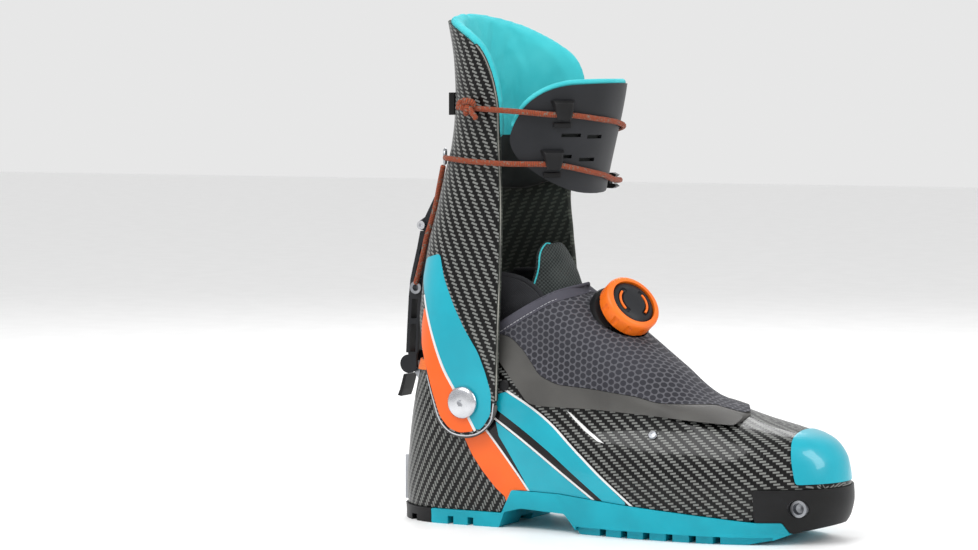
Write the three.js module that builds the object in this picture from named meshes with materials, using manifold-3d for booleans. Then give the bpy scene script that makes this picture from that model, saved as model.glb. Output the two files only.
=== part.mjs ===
// Alpine touring boot, right foot. Millimetres, +X to the toe, +Y to the inner side, +Z up.
// The design frame starts at the back of the heel; the whole group is centred at the end.
import * as THREE from 'three';
import { mergeVertices } from 'three/addons/utils/BufferGeometryUtils.js';
import Module from 'manifold-3d';

const wasm = await Module();
wasm.setup();

// ---------------------------------------------------------------- driving dimensions
const gap = 0.3;
const shellWall = 3;
const cuffWall = 3;
const soleFloor = 28;
const pivot = { x: 60, z: 78, boltRadius: 4, headRadius: 10 };
const leverAxle = { x: 14, z: 186, radius: 1.8, headRadius: 2.8 };
const lever = { half: 8.8, wall: 2.2, web: 2.4, eyeRadius: 4.2 };
const leverMountHalf = 13;
const cordEyePlace = { x: 7, z: 145.8 };
const catchPin = { x: 3, z: 96, radius: 1.9 };
const link = { x: 77, z: 214, length: 17, plate: 1.8, standoff: 1.6, eyeRadius: 4.8 };
const toeSkew = 4;
const dial = {
  centre: new THREE.Vector3(148, -3.5, 132.5),
  axis: new THREE.Vector3(0.73, -0.34, 0.59).normalize(),
  ringRadius: 19,
};
const cordRadius = 1.75;
const laceRadius = 0.8;
const ringPoints = 30;

// ---------------------------------------------------------------- materials
const finish = (color, roughness, metalness = 0) =>
  new THREE.MeshStandardMaterial({ color, roughness, metalness });
const carbon = finish(0x191b1e, 0.2);
const tealPaint = finish(0x12a8be, 0.35);
const tealRubber = finish(0x14a3b8, 0.6);
const tealFabric = finish(0x35bfc6, 0.9);
const orangeRubber = finish(0xf2701a, 0.55);
const orangeTape = finish(0xf06a18, 0.8);
const blackRubber = finish(0x151515, 0.7);
const greyPlastic = finish(0x2e3033, 0.5);
const greyBand = finish(0x5a5a58, 0.7);
const gaiterFabric = finish(0x3c3c44, 0.85);
const meshFabric = finish(0x1c1c1e, 0.9);
const linerFabric = finish(0x26282b, 0.95);
const aluminium = finish(0xc6c9cc, 0.3, 1);
const steel = finish(0x9a9da1, 0.35, 1);
const cordBraid = finish(0x9a4a2c, 0.8);
const laceBraid = finish(0x6c6f72, 0.8);

// ---------------------------------------------------------------- curves
// A smooth curve through [position, value] pairs that never overshoots them.
function smoothCurve(points) {
  const count = points.length;
  const slopes = [];
  for (let i = 0; i < count - 1; i++) {
    slopes.push((points[i + 1][1] - points[i][1]) / (points[i + 1][0] - points[i][0]));
  }
  const tangents = points.map((point, i) => {
    if (i === 0) return slopes[0];
    if (i === count - 1) return slopes[count - 2];
    if (slopes[i - 1] * slopes[i] <= 0) return 0;
    return 2 / (1 / slopes[i - 1] + 1 / slopes[i]);
  });
  return (position) => {
    if (position <= points[0][0]) return points[0][1];
    if (position >= points[count - 1][0]) return points[count - 1][1];
    const i = points.findIndex((point) => point[0] > position) - 1;
    const span = points[i + 1][0] - points[i][0];
    const t = (position - points[i][0]) / span;
    const start = (1 + 2 * t) * (1 - t) ** 2 * points[i][1];
    const end = t * t * (3 - 2 * t) * points[i + 1][1];
    const startSlope = t * (1 - t) ** 2 * span * tangents[i];
    const endSlope = t * t * (t - 1) * span * tangents[i + 1];
    return start + end + startSlope + endSlope;
  };
}

function smoothStep(low, high, x) {
  const t = Math.min(1, Math.max(0, (x - low) / (high - low)));
  return t * t * (3 - 2 * t);
}

// ---------------------------------------------------------------- foot and leg shape
// Each curve gives an X or a half width at a height.
const footFront = smoothCurve([
  [5, 288], [14, 294], [24, 296], [36, 295], [48, 293], [57, 288], [62, 281], [66, 268],
  [71, 248], [77, 228], [82, 211], [100, 187], [121, 159], [134, 140], [150, 116.5], [160, 104],
]);
const footRear = smoothCurve([
  [5, 1], [20, 0], [40, 1.5], [65, 4.5], [85, 8], [100, 11], [115, 14.5], [160, 23],
]);
const heelHalf = smoothCurve([[5, 35], [24, 37], [50, 39.3], [75, 40.2], [88, 39.2], [112, 34.5], [160, 33]]);
const ballHalf = smoothCurve([
  [5, 47], [24, 50], [36, 50.5], [48, 48], [57, 44], [66, 38], [77, 35], [160, 33],
]);
const toeRounding = smoothCurve([[5, 75], [57, 72], [70, 50], [160, 42]]);

const legRear = smoothCurve([
  [50, 7], [90, 9], [115, 12], [150, 15.5], [179, 20.5], [197, 25.6], [213, 29.5], [237, 36],
  [254, 38.3], [270, 39], [289, 38.2], [318, 33.5],
]);
const legFront = smoothCurve([[50, 120], [150, 120], [206, 127], [275, 141.5], [318, 146]]);
const legHalf = smoothCurve([[50, 46], [120, 46], [200, 45], [318, 47]]);

function endRound(distance, length, power) {
  const t = distance / length;
  if (t >= 1) return 1;
  return t <= 0 ? 0 : (1 - (1 - t) ** power) ** (1 / power);
}

// Point of the foot surface: angle 0 is the toe, 90 degrees the inner side. Offset is outward.
function footPoint(height, angle, offset) {
  const lifted = height - 0.9 * offset;
  const front = footFront(lifted) + 0.6 * offset;
  const rear = footRear(height) - offset;
  const x = (front + rear) / 2 + (front - rear) / 2 * Math.cos(angle);
  const blend = smoothStep(70, 190, x);
  const half = heelHalf(height) * (1 - blend) + ballHalf(lifted) * blend + offset;
  const rounding = endRound(x - rear, 42, 2) * endRound(front - x, toeRounding(height), 2);
  const skew = toeSkew * smoothStep(170, 297, x);
  const side = Math.sin(angle);
  const y = Math.abs(side) < 1e-9 ? 0 : Math.sign(side) * half * rounding;
  return new THREE.Vector3(x, y + skew, height);
}

// Point of the leg surface, with the same angles. Offset 0 is the outer face of the cuff.
function legPoint(height, angle, offset) {
  const front = legFront(height) + offset;
  const rear = legRear(height) - offset;
  const x = (front + rear) / 2 + (front - rear) / 2 * Math.cos(angle);
  const half = legHalf(height) + offset;
  const rounding = endRound(x - rear, 41, 2.3) * endRound(front - x, 52, 2.2);
  const side = Math.sin(angle);
  const y = Math.abs(side) < 1e-9 ? 0 : Math.sign(side) * half * rounding;
  return new THREE.Vector3(x, y, height);
}

// ---------------------------------------------------------------- solids
function toSolid(geometry) {
  const bare = geometry.clone();
  bare.deleteAttribute('normal');
  bare.deleteAttribute('uv');
  const merged = mergeVertices(bare, 1e-4);
  return new wasm.Manifold(new wasm.Mesh({
    numProp: 3,
    vertProperties: new Float32Array(merged.attributes.position.array),
    triVerts: new Uint32Array(merged.index.array),
  }));
}

function toGeometry(solid) {
  const mesh = solid.getMesh();
  const geometry = new THREE.BufferGeometry();
  geometry.setAttribute('position', new THREE.BufferAttribute(new Float32Array(mesh.vertProperties), 3));
  geometry.setIndex(new THREE.BufferAttribute(new Uint32Array(mesh.triVerts), 1));
  geometry.computeVertexNormals();
  return geometry;
}

// Closed solid through a stack of rings that run anticlockwise seen from above.
function loft(rings) {
  const size = rings[0].length;
  const positions = rings.flat().flatMap((point) => [point.x, point.y, point.z]);
  const index = [];
  for (let level = 0; level < rings.length - 1; level++) {
    for (let i = 0; i < size; i++) {
      const a = level * size + i;
      const b = level * size + (i + 1) % size;
      index.push(a, b, b + size, a, b + size, a + size);
    }
  }
  const ends = [rings[0], rings[rings.length - 1]];
  ends.forEach((ring, end) => {
    const centre = ring.reduce((sum, point) => sum.add(point), new THREE.Vector3()).divideScalar(size);
    const middle = positions.length / 3;
    positions.push(centre.x, centre.y, centre.z);
    const first = end * (rings.length - 1) * size;
    for (let i = 0; i < size; i++) {
      const a = first + i;
      const b = first + (i + 1) % size;
      index.push(...(end ? [middle, a, b] : [middle, b, a]));
    }
  });
  const geometry = new THREE.BufferGeometry();
  geometry.setAttribute('position', new THREE.Float32BufferAttribute(positions, 3));
  geometry.setIndex(index);
  return toSolid(geometry);
}

function ringOf(pointAt, height, offset) {
  return Array.from({ length: ringPoints }, (_, i) =>
    pointAt(height, i / ringPoints * 2 * Math.PI, offset));
}

const footLevels = [9, 20, 34, 46, 55, 60, 64, 67, 71, 76, 82, 91, 104, 120, 138, 157];
const footSolid = (offset, levels = footLevels) =>
  loft(levels.map((height) => ringOf(footPoint, height, offset)));
const legLevels = [52, 80, 115, 150, 180, 206, 228, 250, 275, 300, 322];
const legSolid = (offset, levels = legLevels) =>
  loft(levels.map((height) => ringOf(legPoint, height, offset)));

const pathShape = (points) => new THREE.Shape(points.map(([x, y]) => new THREE.Vector2(x, y)));

// Side outline [x, z] pushed across the boot from y = from to y = to.
function sidePrism(outline, from, to) {
  const shape = outline instanceof THREE.Shape ? outline : pathShape(outline);
  const geometry = new THREE.ExtrudeGeometry(shape, {
    depth: to - from, bevelEnabled: false, curveSegments: 10,
  });
  geometry.rotateX(Math.PI / 2).translate(0, to, 0);
  return toSolid(geometry);
}

function block(x0, x1, y0, y1, z0, z1) {
  const geometry = new THREE.BoxGeometry(x1 - x0, y1 - y0, z1 - z0);
  return toSolid(geometry.translate((x0 + x1) / 2, (y0 + y1) / 2, (z0 + z1) / 2));
}

// Moves a geometry made around +Y to a place, with its +Y turned to a direction.
function placed(geometry, place, direction) {
  const turn = new THREE.Quaternion().setFromUnitVectors(
    new THREE.Vector3(0, 1, 0), direction.clone().normalize());
  return toSolid(geometry.applyQuaternion(turn).translate(place.x, place.y, place.z));
}

function rod(from, to, radius, sides = 16) {
  const along = to.clone().sub(from);
  const middle = from.clone().add(to).multiplyScalar(0.5);
  return placed(new THREE.CylinderGeometry(radius, radius, along.length(), sides), middle, along);
}

// Turned solid: profile of [radius, height] pairs that starts and ends on the axis.
function turned(profile, place, direction, sides = 20) {
  const points = profile.map(([radius, height]) => new THREE.Vector2(radius, height));
  return placed(new THREE.LatheGeometry(points, sides), place, direction);
}

function tube(points, radius, steps) {
  const sides = 8;
  const section = new THREE.Shape(Array.from({ length: sides }, (_, i) => new THREE.Vector2(
    radius * Math.cos(i / sides * 2 * Math.PI), radius * Math.sin(i / sides * 2 * Math.PI))));
  const path = new THREE.CatmullRomCurve3(points, false, 'centripetal');
  return toSolid(new THREE.ExtrudeGeometry(section, { steps, extrudePath: path, bevelEnabled: false }));
}

const at = (x, y, z) => new THREE.Vector3(x, y, z);
const turnAngle = (degrees) => degrees * Math.PI / 180;
const crossRod = (x, z, radius, half, sides = 14) => rod(at(x, -half, z), at(x, half, z), radius, sides);
const dome = (radius, height) => [[0, 0], [radius, 0], [radius * 0.8, height * 0.7], [0, height]];

// Spot on the side of the foot at a given X, and the direction straight out of the surface there.
function footSide(x, height, side) {
  const front = footFront(height);
  const rear = footRear(height);
  const angle = side * Math.acos((2 * x - front - rear) / (front - rear));
  const step = 0.02;
  const along = footPoint(height, angle + step, 0).sub(footPoint(height, angle - step, 0));
  const up = footPoint(height + 1, angle, 0).sub(footPoint(height - 1, angle, 0));
  return { spot: footPoint(height, angle, 0), out: along.cross(up).normalize() };
}

// Level direction straight out of the leg surface, and a spot that far off the surface.
function legNormal(height, angle) {
  const step = 0.02;
  const along = legPoint(height, angle + step, 0).sub(legPoint(height, angle - step, 0));
  return along.cross(at(0, 0, 1)).normalize();
}

function legSpot(height, angle, offset) {
  return legPoint(height, angle, 0).addScaledVector(legNormal(height, angle), offset);
}

// ---------------------------------------------------------------- assembly
const group = new THREE.Group();

function add(name, solid, material) {
  const mesh = new THREE.Mesh(toGeometry(solid), material);
  mesh.name = name;
  group.add(mesh);
}

// ---------------------------------------------------------------- lower boot
const pivotHole = rod(at(pivot.x, -60, pivot.z), at(pivot.x, 60, pivot.z), pivot.boltRadius + gap);

// Thick back of the heel that the heel insert is screwed to, and its screws.
const heelScrewHeights = [17, 30];
const heelScrew = { radius: 2, headRadius: 3.6, headTop: 1.1, length: 8.4 };
const heelScrewHole = (z, radius, from, to) => rod(at(from, 0, z), at(to, 0, z), radius + gap, 12);
const heelScrewHoles = () => heelScrewHeights.map((z) => heelScrewHole(z, heelScrew.radius, -1, 9.8))
  .reduce((all, hole) => all.add(hole));
const heelBoss = (grow) => footSolid(-1).intersect(block(0, 10 + grow, -15 - grow, 15 + grow, 20, 43 + grow));

function lowerShell() {
  const outer = footSolid(0);
  const inner = footSolid(-shellWall, [soleFloor, 38, 48, 55, 60, 64, 68, 73, 79, 88, 104, 120, 138, 160]);
  const profile = pathShape([
    [-5, 9.5], [82, 9.5], [90, 24.5], [124, 24.5], [230, 16.5], [253, 14.3], [253, 34.3],
    [300, 34.3], [300, 70], [232, 84], [214, 87], [172, 92], [130, 95], [110, 104], [97, 121], [84, 124],
    [73, 121], [50, 111], [30, 103], [-5, 101],
  ]);
  const nutPocket = crossRod(pivot.x, pivot.z, 7.5, 39.9, 16);
  const heelRecess = block(-5, 4.3, -13, 13, 10, 40);
  return outer.intersect(sidePrism(profile, -70, 70)).subtract(inner).add(heelBoss(0))
    .subtract(heelScrewHoles()).subtract(nutPocket).subtract(pivotHole).subtract(heelRecess);
}

// Region of the painted toe cap, seen from the side.
const toeCapOutline = [[280, 37], [305, 37], [305, 75], [271.5, 75], [273, 66]];

function toeCap() {
  const skin = footSolid(1).subtract(footSolid(-1));
  return skin.intersect(sidePrism(toeCapOutline, -70, 70));
}

function shellUnderToeCap(shell) {
  const bed = footSolid(1.6).subtract(footSolid(-1 - gap));
  const outline = toeCapOutline.map(([x, z]) => [x > 300 ? x + 1 : x - gap, z < 40 ? z - gap : z + 1]);
  return shell.subtract(bed.intersect(sidePrism(outline, -71, 71)));
}

// The fabric gaiter lies on the shell; its smooth band is the strip below it.
const gaiterBandTop = [
  [216, 81], [186, 82], [173, 85.5], [146, 89], [121, 91], [109, 96], [97, 111], [88, 119], [77, 121.5],
];
const gaiterBandBottom = [[77, 108], [91, 92.6], [102, 79], [110, 77.5], [146, 77], [187, 74.5], [232, 71]];

function gaiterSkin() {
  return footSolid(2).subtract(footSolid(gap));
}

function gaiter() {
  const outline = [...gaiterBandTop.map(([x, z]) => [x, z + gap]),
    [75, 124], [88, 132], [100, 139], [112, 147], [126, 152],
    [150, 152], [240, 90], [236, 76]];
  return gaiterSkin().intersect(sidePrism(outline, -70, 70));
}

function gaiterBand() {
  const outline = [...gaiterBandTop, ...gaiterBandBottom, [236, 71], [236, 76 - gap]];
  return gaiterSkin().intersect(sidePrism(outline, -70, 70));
}

function outsole() {
  const body = loft([-1, 6, 14, 26].map((height) => ringOf(footPoint, height, 1.5)));
  const outline = [
    [32, 0], [80, 0], [84, 10], [96, 13], [128, 12], [138, 0], [246, 0], [262, 3], [271, 6.5], [268, 14],
    [253, 14], [230, 16.2], [124, 24.2], [90, 24.2], [82, 9.2], [32, 9.2],
  ];
  let sole = body.intersect(sidePrism(outline, -70, 70));
  for (const x of [44, 58]) sole = sole.subtract(block(x, x + 4, -60, 60, -2, 5));
  for (let x = 152; x < 240; x += 15) sole = sole.subtract(block(x, x + 4.5, -60, 60, -2, 4));
  return sole.subtract(block(30, 82, -9, 9, -2, 4)).subtract(block(140, 250, -4, 4, -2, 3));
}

function heelRubber() {
  const body = loft([-1, 5, 10].map((height) => ringOf(footPoint, height, 1.5)));
  return body.intersect(block(-4, 32 - gap, -50, 50, 0, 9.2)).subtract(block(14, 19, -60, 60, -2, 4));
}

const toeInsertPlace = at(277, 3.4, 22.6);
const toeInsertRadius = 5.2;

function toeRubber() {
  const body = loft([3, 12, 20, 28, 34].map((height) => ringOf(footPoint, height, 2)));
  const outline = [[253.4, 14.4], [268.4, 14.4], [271.4, 6.8], [300, 13], [300, 34], [253.4, 34]];
  const bar = rod(toeInsertPlace.clone().setY(-60), toeInsertPlace.clone().setY(60), toeInsertRadius + gap);
  const cavity = footSolid(-shellWall, [soleFloor, 34, 46, 55]);
  return body.intersect(sidePrism(outline, -70, 70)).subtract(bar).subtract(cavity);
}

function toeInsert() {
  const halfLength = 34;
  const end = (side, inset) => toeInsertPlace.clone().add(at(0, side * (halfLength - inset), 0));
  const bar = rod(end(-1, 0), end(1, 0), toeInsertRadius, 20);
  const socket = (side) => turned([[0, 0], [2.8, 0.8], [3.8, 5], [0, 5]], end(side, 4), at(0, side, 0), 16);
  return bar.subtract(socket(-1)).subtract(socket(1));
}

function heelInsert() {
  const plate = block(1, 4, -12.5, 12.5, 11, 39);
  const slot = (y) => block(-1, 3, y - 2.5, y + 2.5, 8, 23);
  const seats = heelScrewHeights.map((z) => heelScrewHole(z, heelScrew.headRadius, 0, 2.8))
    .reduce((all, seat) => all.add(seat));
  return plate.subtract(slot(-8)).subtract(slot(8)).subtract(heelScrewHoles()).subtract(seats);
}

function heelInsertScrew(z) {
  const { radius, headRadius, headTop, length } = heelScrew;
  const head = length - 1.4;
  const profile = [[0, 0], [radius, 0], [radius, head], [headRadius, head],
    [headRadius - 0.4, length], [0, length]];
  return turned(profile, at(headTop + length, 0, z), at(-1, 0, 0), 12);
}

function linerBootie() {
  const levels = [soleFloor + 5, 46, 55, 62, 68, 73, 79, 90, 112, 138, 160];
  const outer = footSolid(-shellWall - 1.2, [soleFloor + 2, ...levels]);
  const inner = footSolid(-shellWall - 5.2, levels);
  const outline = [[0, 20], [300, 20], [300, 75], [160, 148], [60, 148], [18, 146], [0, 140]];
  return outer.intersect(sidePrism(outline, -70, 70)).subtract(inner).subtract(heelBoss(gap))
    .subtract(crossRod(pivot.x, pivot.z, 9, 60));
}

function insole() {
  return loft([soleFloor + 5.4, soleFloor + 8].map((height) => ringOf(footPoint, height, -shellWall - 7)))
    .subtract(heelBoss(2));
}

function tongueTab() {
  const outline = [[88, 150], [99, 148.8], [107, 149.5], [112, 158], [109, 173], [101, 175], [95, 160]];
  return sidePrism(outline, -16, 16);
}

function rimTape() {
  const skin = footSolid(1.3).subtract(footSolid(gap));
  const outline = [[-5, 94], [30, 96], [49, 104], [47, 109], [30, 102], [-5, 100.5]];
  return skin.intersect(sidePrism(outline, -70, 70));
}

function rearGusset() {
  const level = (height, grow) => ringOf(footPoint, height, grow);
  const outer = loft([level(101.4, -0.4), level(112, -1), level(124, -1.4), level(134, -1.6)]);
  const inner = loft([level(101.3, -1.9), level(112, -2.4), level(124, -2.8), level(134.1, -3)]);
  const outline = [[-5, 101.4], [28, 103.4], [48, 111.8], [54, 128], [20, 134], [-5, 134]];
  return outer.subtract(inner).intersect(sidePrism(outline, -70, 70));
}

function pivotBolt(side) {
  const head = [[0, 0], [pivot.boltRadius, 0], [pivot.boltRadius, 7.6], [pivot.headRadius, 7.6],
    [pivot.headRadius, 9], [8.6, 10.6], [5, 11.4], [0, 11.4]];
  const bolt = turned(head, at(pivot.x, side * 39, pivot.z), at(0, side, 0));
  const socket = rod(at(pivot.x, side * 47.6, pivot.z), at(pivot.x, side * 52, pivot.z), 2.6, 6);
  return bolt.subtract(socket);
}

function pivotNut(side) {
  return turned([[0, 0], [7, 0], [7, 1.2], [0, 1.2]], at(pivot.x, side * 37.4, pivot.z), at(0, side, 0), 16);
}

// Low rubber stop beside the cuff arm, which passes over it when the cuff tilts forward.
function stopButton(side) {
  const { spot, out } = footSide(85, 89, side);
  const profile = [[0, 0], [3.5, 0], [3.5, 0.8], [2.8, 1.2], [0, 1.2]];
  return turned(profile, spot.addScaledVector(out, gap), out, 14);
}

function sideRivet(side) {
  const { spot, out } = footSide(186, 63, side);
  return turned(dome(3, 1.4), spot.addScaledVector(out, 2 * gap), out, 14);
}

// Hook on the back of the heel: its pin stands between the walls of the closed lever.
function leverCatch() {
  const { x, z, radius } = catchPin;
  const outline = [[14, 82], [6.8, 82.5], [6, 87], [2.2, 93], [1.2, 95], [1.4, 98],
    [4.4, 98.4], [6, 94], [14, 93]];
  return sidePrism(outline, -4, 4).subtract(footSolid(gap)).add(crossRod(x, z, radius, 5.6));
}

// Lace under the gaiter: crosses the instep between paired guides.
const laceOffset = -1.2;
const laceHeights = [96, 108, 120];
const laceSpread = turnAngle(26);

function instepLace() {
  const points = [footPoint(131, turnAngle(-3), laceOffset)];
  laceHeights.slice().reverse().forEach((height, i) => {
    const side = i % 2 ? 1 : -1;
    if (i) points.push(footPoint(height + 6, 0, laceOffset));
    points.push(footPoint(height + 3, side * laceSpread, laceOffset));
    points.push(footPoint(height, side * laceSpread * 1.08, laceOffset));
    points.push(footPoint(height - 3, side * laceSpread, laceOffset));
  });
  return tube(points, laceRadius, 34);
}

function laceGuide(height, side) {
  const place = footPoint(height, side * laceSpread * 1.3, laceOffset);
  const out = place.clone().sub(footPoint(height - 2, side * laceSpread * 1.3, laceOffset - 2));
  return placed(new THREE.BoxGeometry(5, 1.6, 7), place.addScaledVector(out.normalize(), -0.5), out);
}

// ---------------------------------------------------------------- cuff
const cuffArmBottom = (shape) => {
  shape.absarc(pivot.x, pivot.z, 21, Math.PI * 1.05, Math.PI * 2, false);
  return shape;
};

function cuffOutline(frontEdge) {
  const shape = new THREE.Shape();
  shape.moveTo(-5, 138);
  shape.lineTo(12, 137);
  shape.quadraticCurveTo(24, 128, 30, 106);
  cuffArmBottom(shape);
  for (const [x, z] of frontEdge) shape.lineTo(x, z);
  shape.lineTo(-5, 319);
  return shape;
}

const lateralEdge = [
  [82, 120], [84, 200], [83, 243], [82, 266], [77, 285], [70, 297], [58, 306], [40, 314], [27, 318],
];
const medialEdge = [
  [84, 120], [96, 150], [93, 180], [90, 206], [96, 250], [98, 277], [92, 289], [81, 297], [60, 308],
  [40, 315], [27, 318],
];

function cuffShell() {
  const wall = legSolid(0).subtract(legSolid(-cuffWall, [51, ...legLevels.slice(1, -1), 323]));
  const lateral = sidePrism(cuffOutline(lateralEdge), -70, 0);
  const medial = sidePrism(cuffOutline(medialEdge), -0.01, 70);
  return wall.intersect(lateral.add(medial)).subtract(pivotHole);
}

function collarLiner() {
  const inner = legSolid(-cuffWall - 6.5, [100, ...legLevels.slice(2, -1), 324]);
  const pad = legSolid(-cuffWall - gap, [102, ...legLevels.slice(2, -1), 323]).subtract(inner);
  const rise = 3;
  const side = (edge) => [[-5, 212], [60, 208], [84, 214], ...edge.slice(3).map(([x, z]) => [x, z + rise]),
    [20, 318 + rise], [-5, 318 + rise]];
  return pad.intersect(sidePrism(side(lateralEdge), -70, 0).add(sidePrism(side(medialEdge), -0.01, 70)));
}

// Bracket on the back of the cuff: a base with two cheeks that carry the lever's axle.
function leverMount() {
  const shape = new THREE.Shape();
  shape.moveTo(36, 214);
  shape.lineTo(28, 213);
  shape.lineTo(24.5, 208);
  shape.lineTo(15.5, 191);
  shape.absarc(leverAxle.x, leverAxle.z, 3.4, turnAngle(120), turnAngle(300), false);
  shape.lineTo(20, 179);
  shape.lineTo(36, 178);
  const slot = block(-5, leverAxle.x + lever.eyeRadius + 1, -lever.half - 0.6, lever.half + 0.6, 170, 194);
  return sidePrism(shape, -leverMountHalf, leverMountHalf).subtract(legSolid(gap)).subtract(slot)
    .subtract(crossRod(leverAxle.x, leverAxle.z, leverAxle.radius + gap, 20));
}

function mountRivet() {
  return turned(dome(3, 1.5), at(20.2, 0, 201), at(-17, 0, 9));
}

// Rear and front edges of the lever's side walls: [height, X].
const leverRear = smoothCurve([
  [76, -7], [80, -5.8], [90, -2.6], [103, -0.6], [125, 0.6], [140, 1.5], [151, 2.7], [160, 4.8],
  [175, 8.5], [182, 9.9],
]);
const leverFront = smoothCurve([
  [103, 7.5], [110, 8.4], [130, 9], [145, 11], [158, 13.5], [170, 15.5], [182, 18],
]);
const leverWindows = [[104.5, 122.5], [126, 138.5], [151.5, 164], [167, 174]];
const leverWebs = [[123, 125.5], [139, 141], [150, 152], [164.5, 166.5]];

function leverArm() {
  const heights = [104, 125, 140, 151, 160, 171, 182];
  const rearEdge = heights.map((z) => [leverRear(z), z]);
  const frontEdge = heights.toReversed().map((z) => [leverFront(z), z]);
  const outline = [...rearEdge, ...frontEdge];
  const channel = [76, ...heights.slice(0, -1), 179].map((z) => [leverRear(z) + lever.web, z]);
  const hollow = [...channel, [30, 179], [30, 76]];
  const inside = lever.half - lever.wall;
  let hollowed = sidePrism(hollow, -inside, inside);
  for (const [low, high] of leverWebs) hollowed = hollowed.subtract(block(-10, 30, -20, 20, low, high));
  let arm = sidePrism(outline, -lever.half, lever.half)
    .add(crossRod(leverAxle.x, leverAxle.z, lever.eyeRadius, lever.half, 18))
    .add(crossRod(1.2, 96.8, 6, lever.half, 20)).add(block(1, 7, -lever.half, lever.half, 99, 104.1));
  arm = arm.subtract(hollowed).subtract(crossRod(leverAxle.x, leverAxle.z, leverAxle.radius + gap, 20))
    .subtract(crossRod(cordEyePlace.x, cordEyePlace.z, 3.2 + gap, 20));
  for (const [low, high] of leverWindows) {
    arm = arm.subtract(sidePrism([
      [leverRear(low) + 2.4, low], [leverFront(low) - 1.6, low],
      [leverFront(high) - 1.6, high], [leverRear(high) + 2.4, high],
    ], -20, 20));
  }
  return arm;
}

// Finger tab at the lever's lower end.
function leverGrip() {
  return sidePrism([[-3.2, 90], [-6, 80], [-7.6, 76.2], [-5.2, 75.6], [-3.6, 80], [-0.8, 90]], -7, 7);
}

function leverAxleBolt() {
  const { x, z, radius, headRadius } = leverAxle;
  const head = (side) => {
    const inner = at(x, side * (leverMountHalf + gap), z);
    const outer = at(x, side * (leverMountHalf + 2.8), z);
    return rod(inner, outer, headRadius);
  };
  const socket = rod(at(x, -17, z), at(x, -leverMountHalf - 1.4, z), 1.5, 6);
  return crossRod(x, z, radius, leverMountHalf + 1).add(head(-1)).add(head(1)).subtract(socket);
}

// Flanged bush across the lever that the cord passes through.
function cordEye() {
  const out = lever.half + gap;
  const bore = cordRadius + 0.35;
  const profile = [
    [bore, -out - 1], [4, -out - 1], [4, -out], [3.2, -out],
    [3.2, out], [4, out], [4, out + 1], [bore, out + 1], [bore, -out - 1],
  ];
  return turned(profile, at(cordEyePlace.x, 0, cordEyePlace.z), at(0, 1, 0), 16);
}

// A small plate that stands on the leg surface: size is [length around the leg, height].
function surfacePad(height, angle, size, thickness, offset = gap) {
  const geometry = new THREE.BoxGeometry(size[0], thickness, size[1]);
  return placed(geometry, legSpot(height, angle, offset + thickness / 2), legNormal(height, angle));
}

const rearBracket = { height: 263, angle: turnAngle(-163) };
const ringGuide = { height: 230, angle: turnAngle(-154) };

function rearCordBracket() {
  return surfacePad(rearBracket.height, rearBracket.angle, [13, 14], 3.4).subtract(legSolid(gap));
}

function cordKnot() {
  const place = legSpot(rearBracket.height, turnAngle(-138), gap + 3.2);
  return toSolid(new THREE.SphereGeometry(3.2, 12, 8).translate(place.x, place.y, place.z))
    .subtract(legSolid(gap));
}

function spineRivet() {
  const angle = turnAngle(-174);
  return turned(dome(3, 1.6), legSpot(245, angle, 3 * gap), legNormal(245, angle), 14);
}

function rearRingGuide() {
  const place = legSpot(ringGuide.height, ringGuide.angle, 2.6);
  return placed(new THREE.TorusGeometry(4.2, 1.2, 8, 16).rotateX(Math.PI / 2), place,
    legNormal(ringGuide.height, ringGuide.angle)).subtract(legSolid(gap));
}

// ---------------------------------------------------------------- front flap
const flapOffset = gap * 2;
const flapWall = 2.4;
const flapFrontEdges = [[127, 208], [170, 203], [170, 278], [126, 274.5]];
const flapLateral = [[92.5, 241], [96, 232], [104, 224], [114, 216.5], ...flapFrontEdges,
  [114, 270], [103, 262], [95.5, 250]];
const flapMedial = [[76, 240], [80, 230], [92, 223], [119, 220.5], ...flapFrontEdges, [96, 264], [80, 254]];
const flapLevels = [196, 206, 222, 240, 262, 285];

function flapPiece(outerOffset, innerOffset, inset) {
  const innerLevels = [195, ...flapLevels.slice(1, -1), 286];
  const skin = legSolid(outerOffset, flapLevels).subtract(legSolid(innerOffset, innerLevels));
  const shrink = (outline) => outline.map(([x, z]) => {
    const lowest = x > 160 ? 170 : 0;
    return [Math.max(x + inset, lowest), z + (z > 240 ? -inset : inset)];
  });
  const lateral = sidePrism(shrink(flapLateral), -70, 0);
  const medial = sidePrism(shrink(flapMedial), -0.01, 70);
  return skin.intersect(lateral.add(medial));
}

const flapSlots = [[244, -38], [243, -17], [231, -42], [229, -20]];

function frontFlap() {
  let flap = flapPiece(flapOffset + flapWall, flapOffset, 0);
  for (const [height, degrees] of flapSlots) {
    const angle = turnAngle(degrees);
    const cutter = new THREE.BoxGeometry(14, 14, 3.2);
    flap = flap.subtract(placed(cutter, legPoint(height, angle, 0), legNormal(height, angle)));
  }
  return flap;
}

function flapLiner() {
  const pad = flapPiece(flapOffset - gap, flapOffset - 3.3, 4);
  return pad.intersect(block(101, 200, -70, 70, 150, 300));
}

// Hook for the cord, set out at the height of the cord that lies in it.
function cordHook(cordHeight, degrees) {
  const angle = turnAngle(degrees);
  const offset = flapOffset + flapWall + gap;
  const base = surfacePad(cordHeight, angle, [13, 14], 1.5, offset);
  const post = surfacePad(cordHeight - 4.6, angle, [8, 3.4], 7.6, offset);
  const lip = surfacePad(cordHeight - 0.5, angle, [8, 10.4], 1.6, offset + 6.6);
  return base.add(post).add(lip).subtract(legSolid(offset, flapLevels));
}

// Strap on the inner side of the flap that turns the cord down to the lever.
function flapGuide() {
  const angle = turnAngle(74);
  const offset = flapOffset + flapWall + gap;
  const strap = surfacePad(252, angle, [7, 14], 1.6, offset);
  const rivet = turned(dome(3.2, 3), legSpot(256, angle, offset + 0.6), legNormal(256, angle), 14);
  return strap.add(rivet).subtract(legSolid(offset, flapLevels));
}

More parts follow.
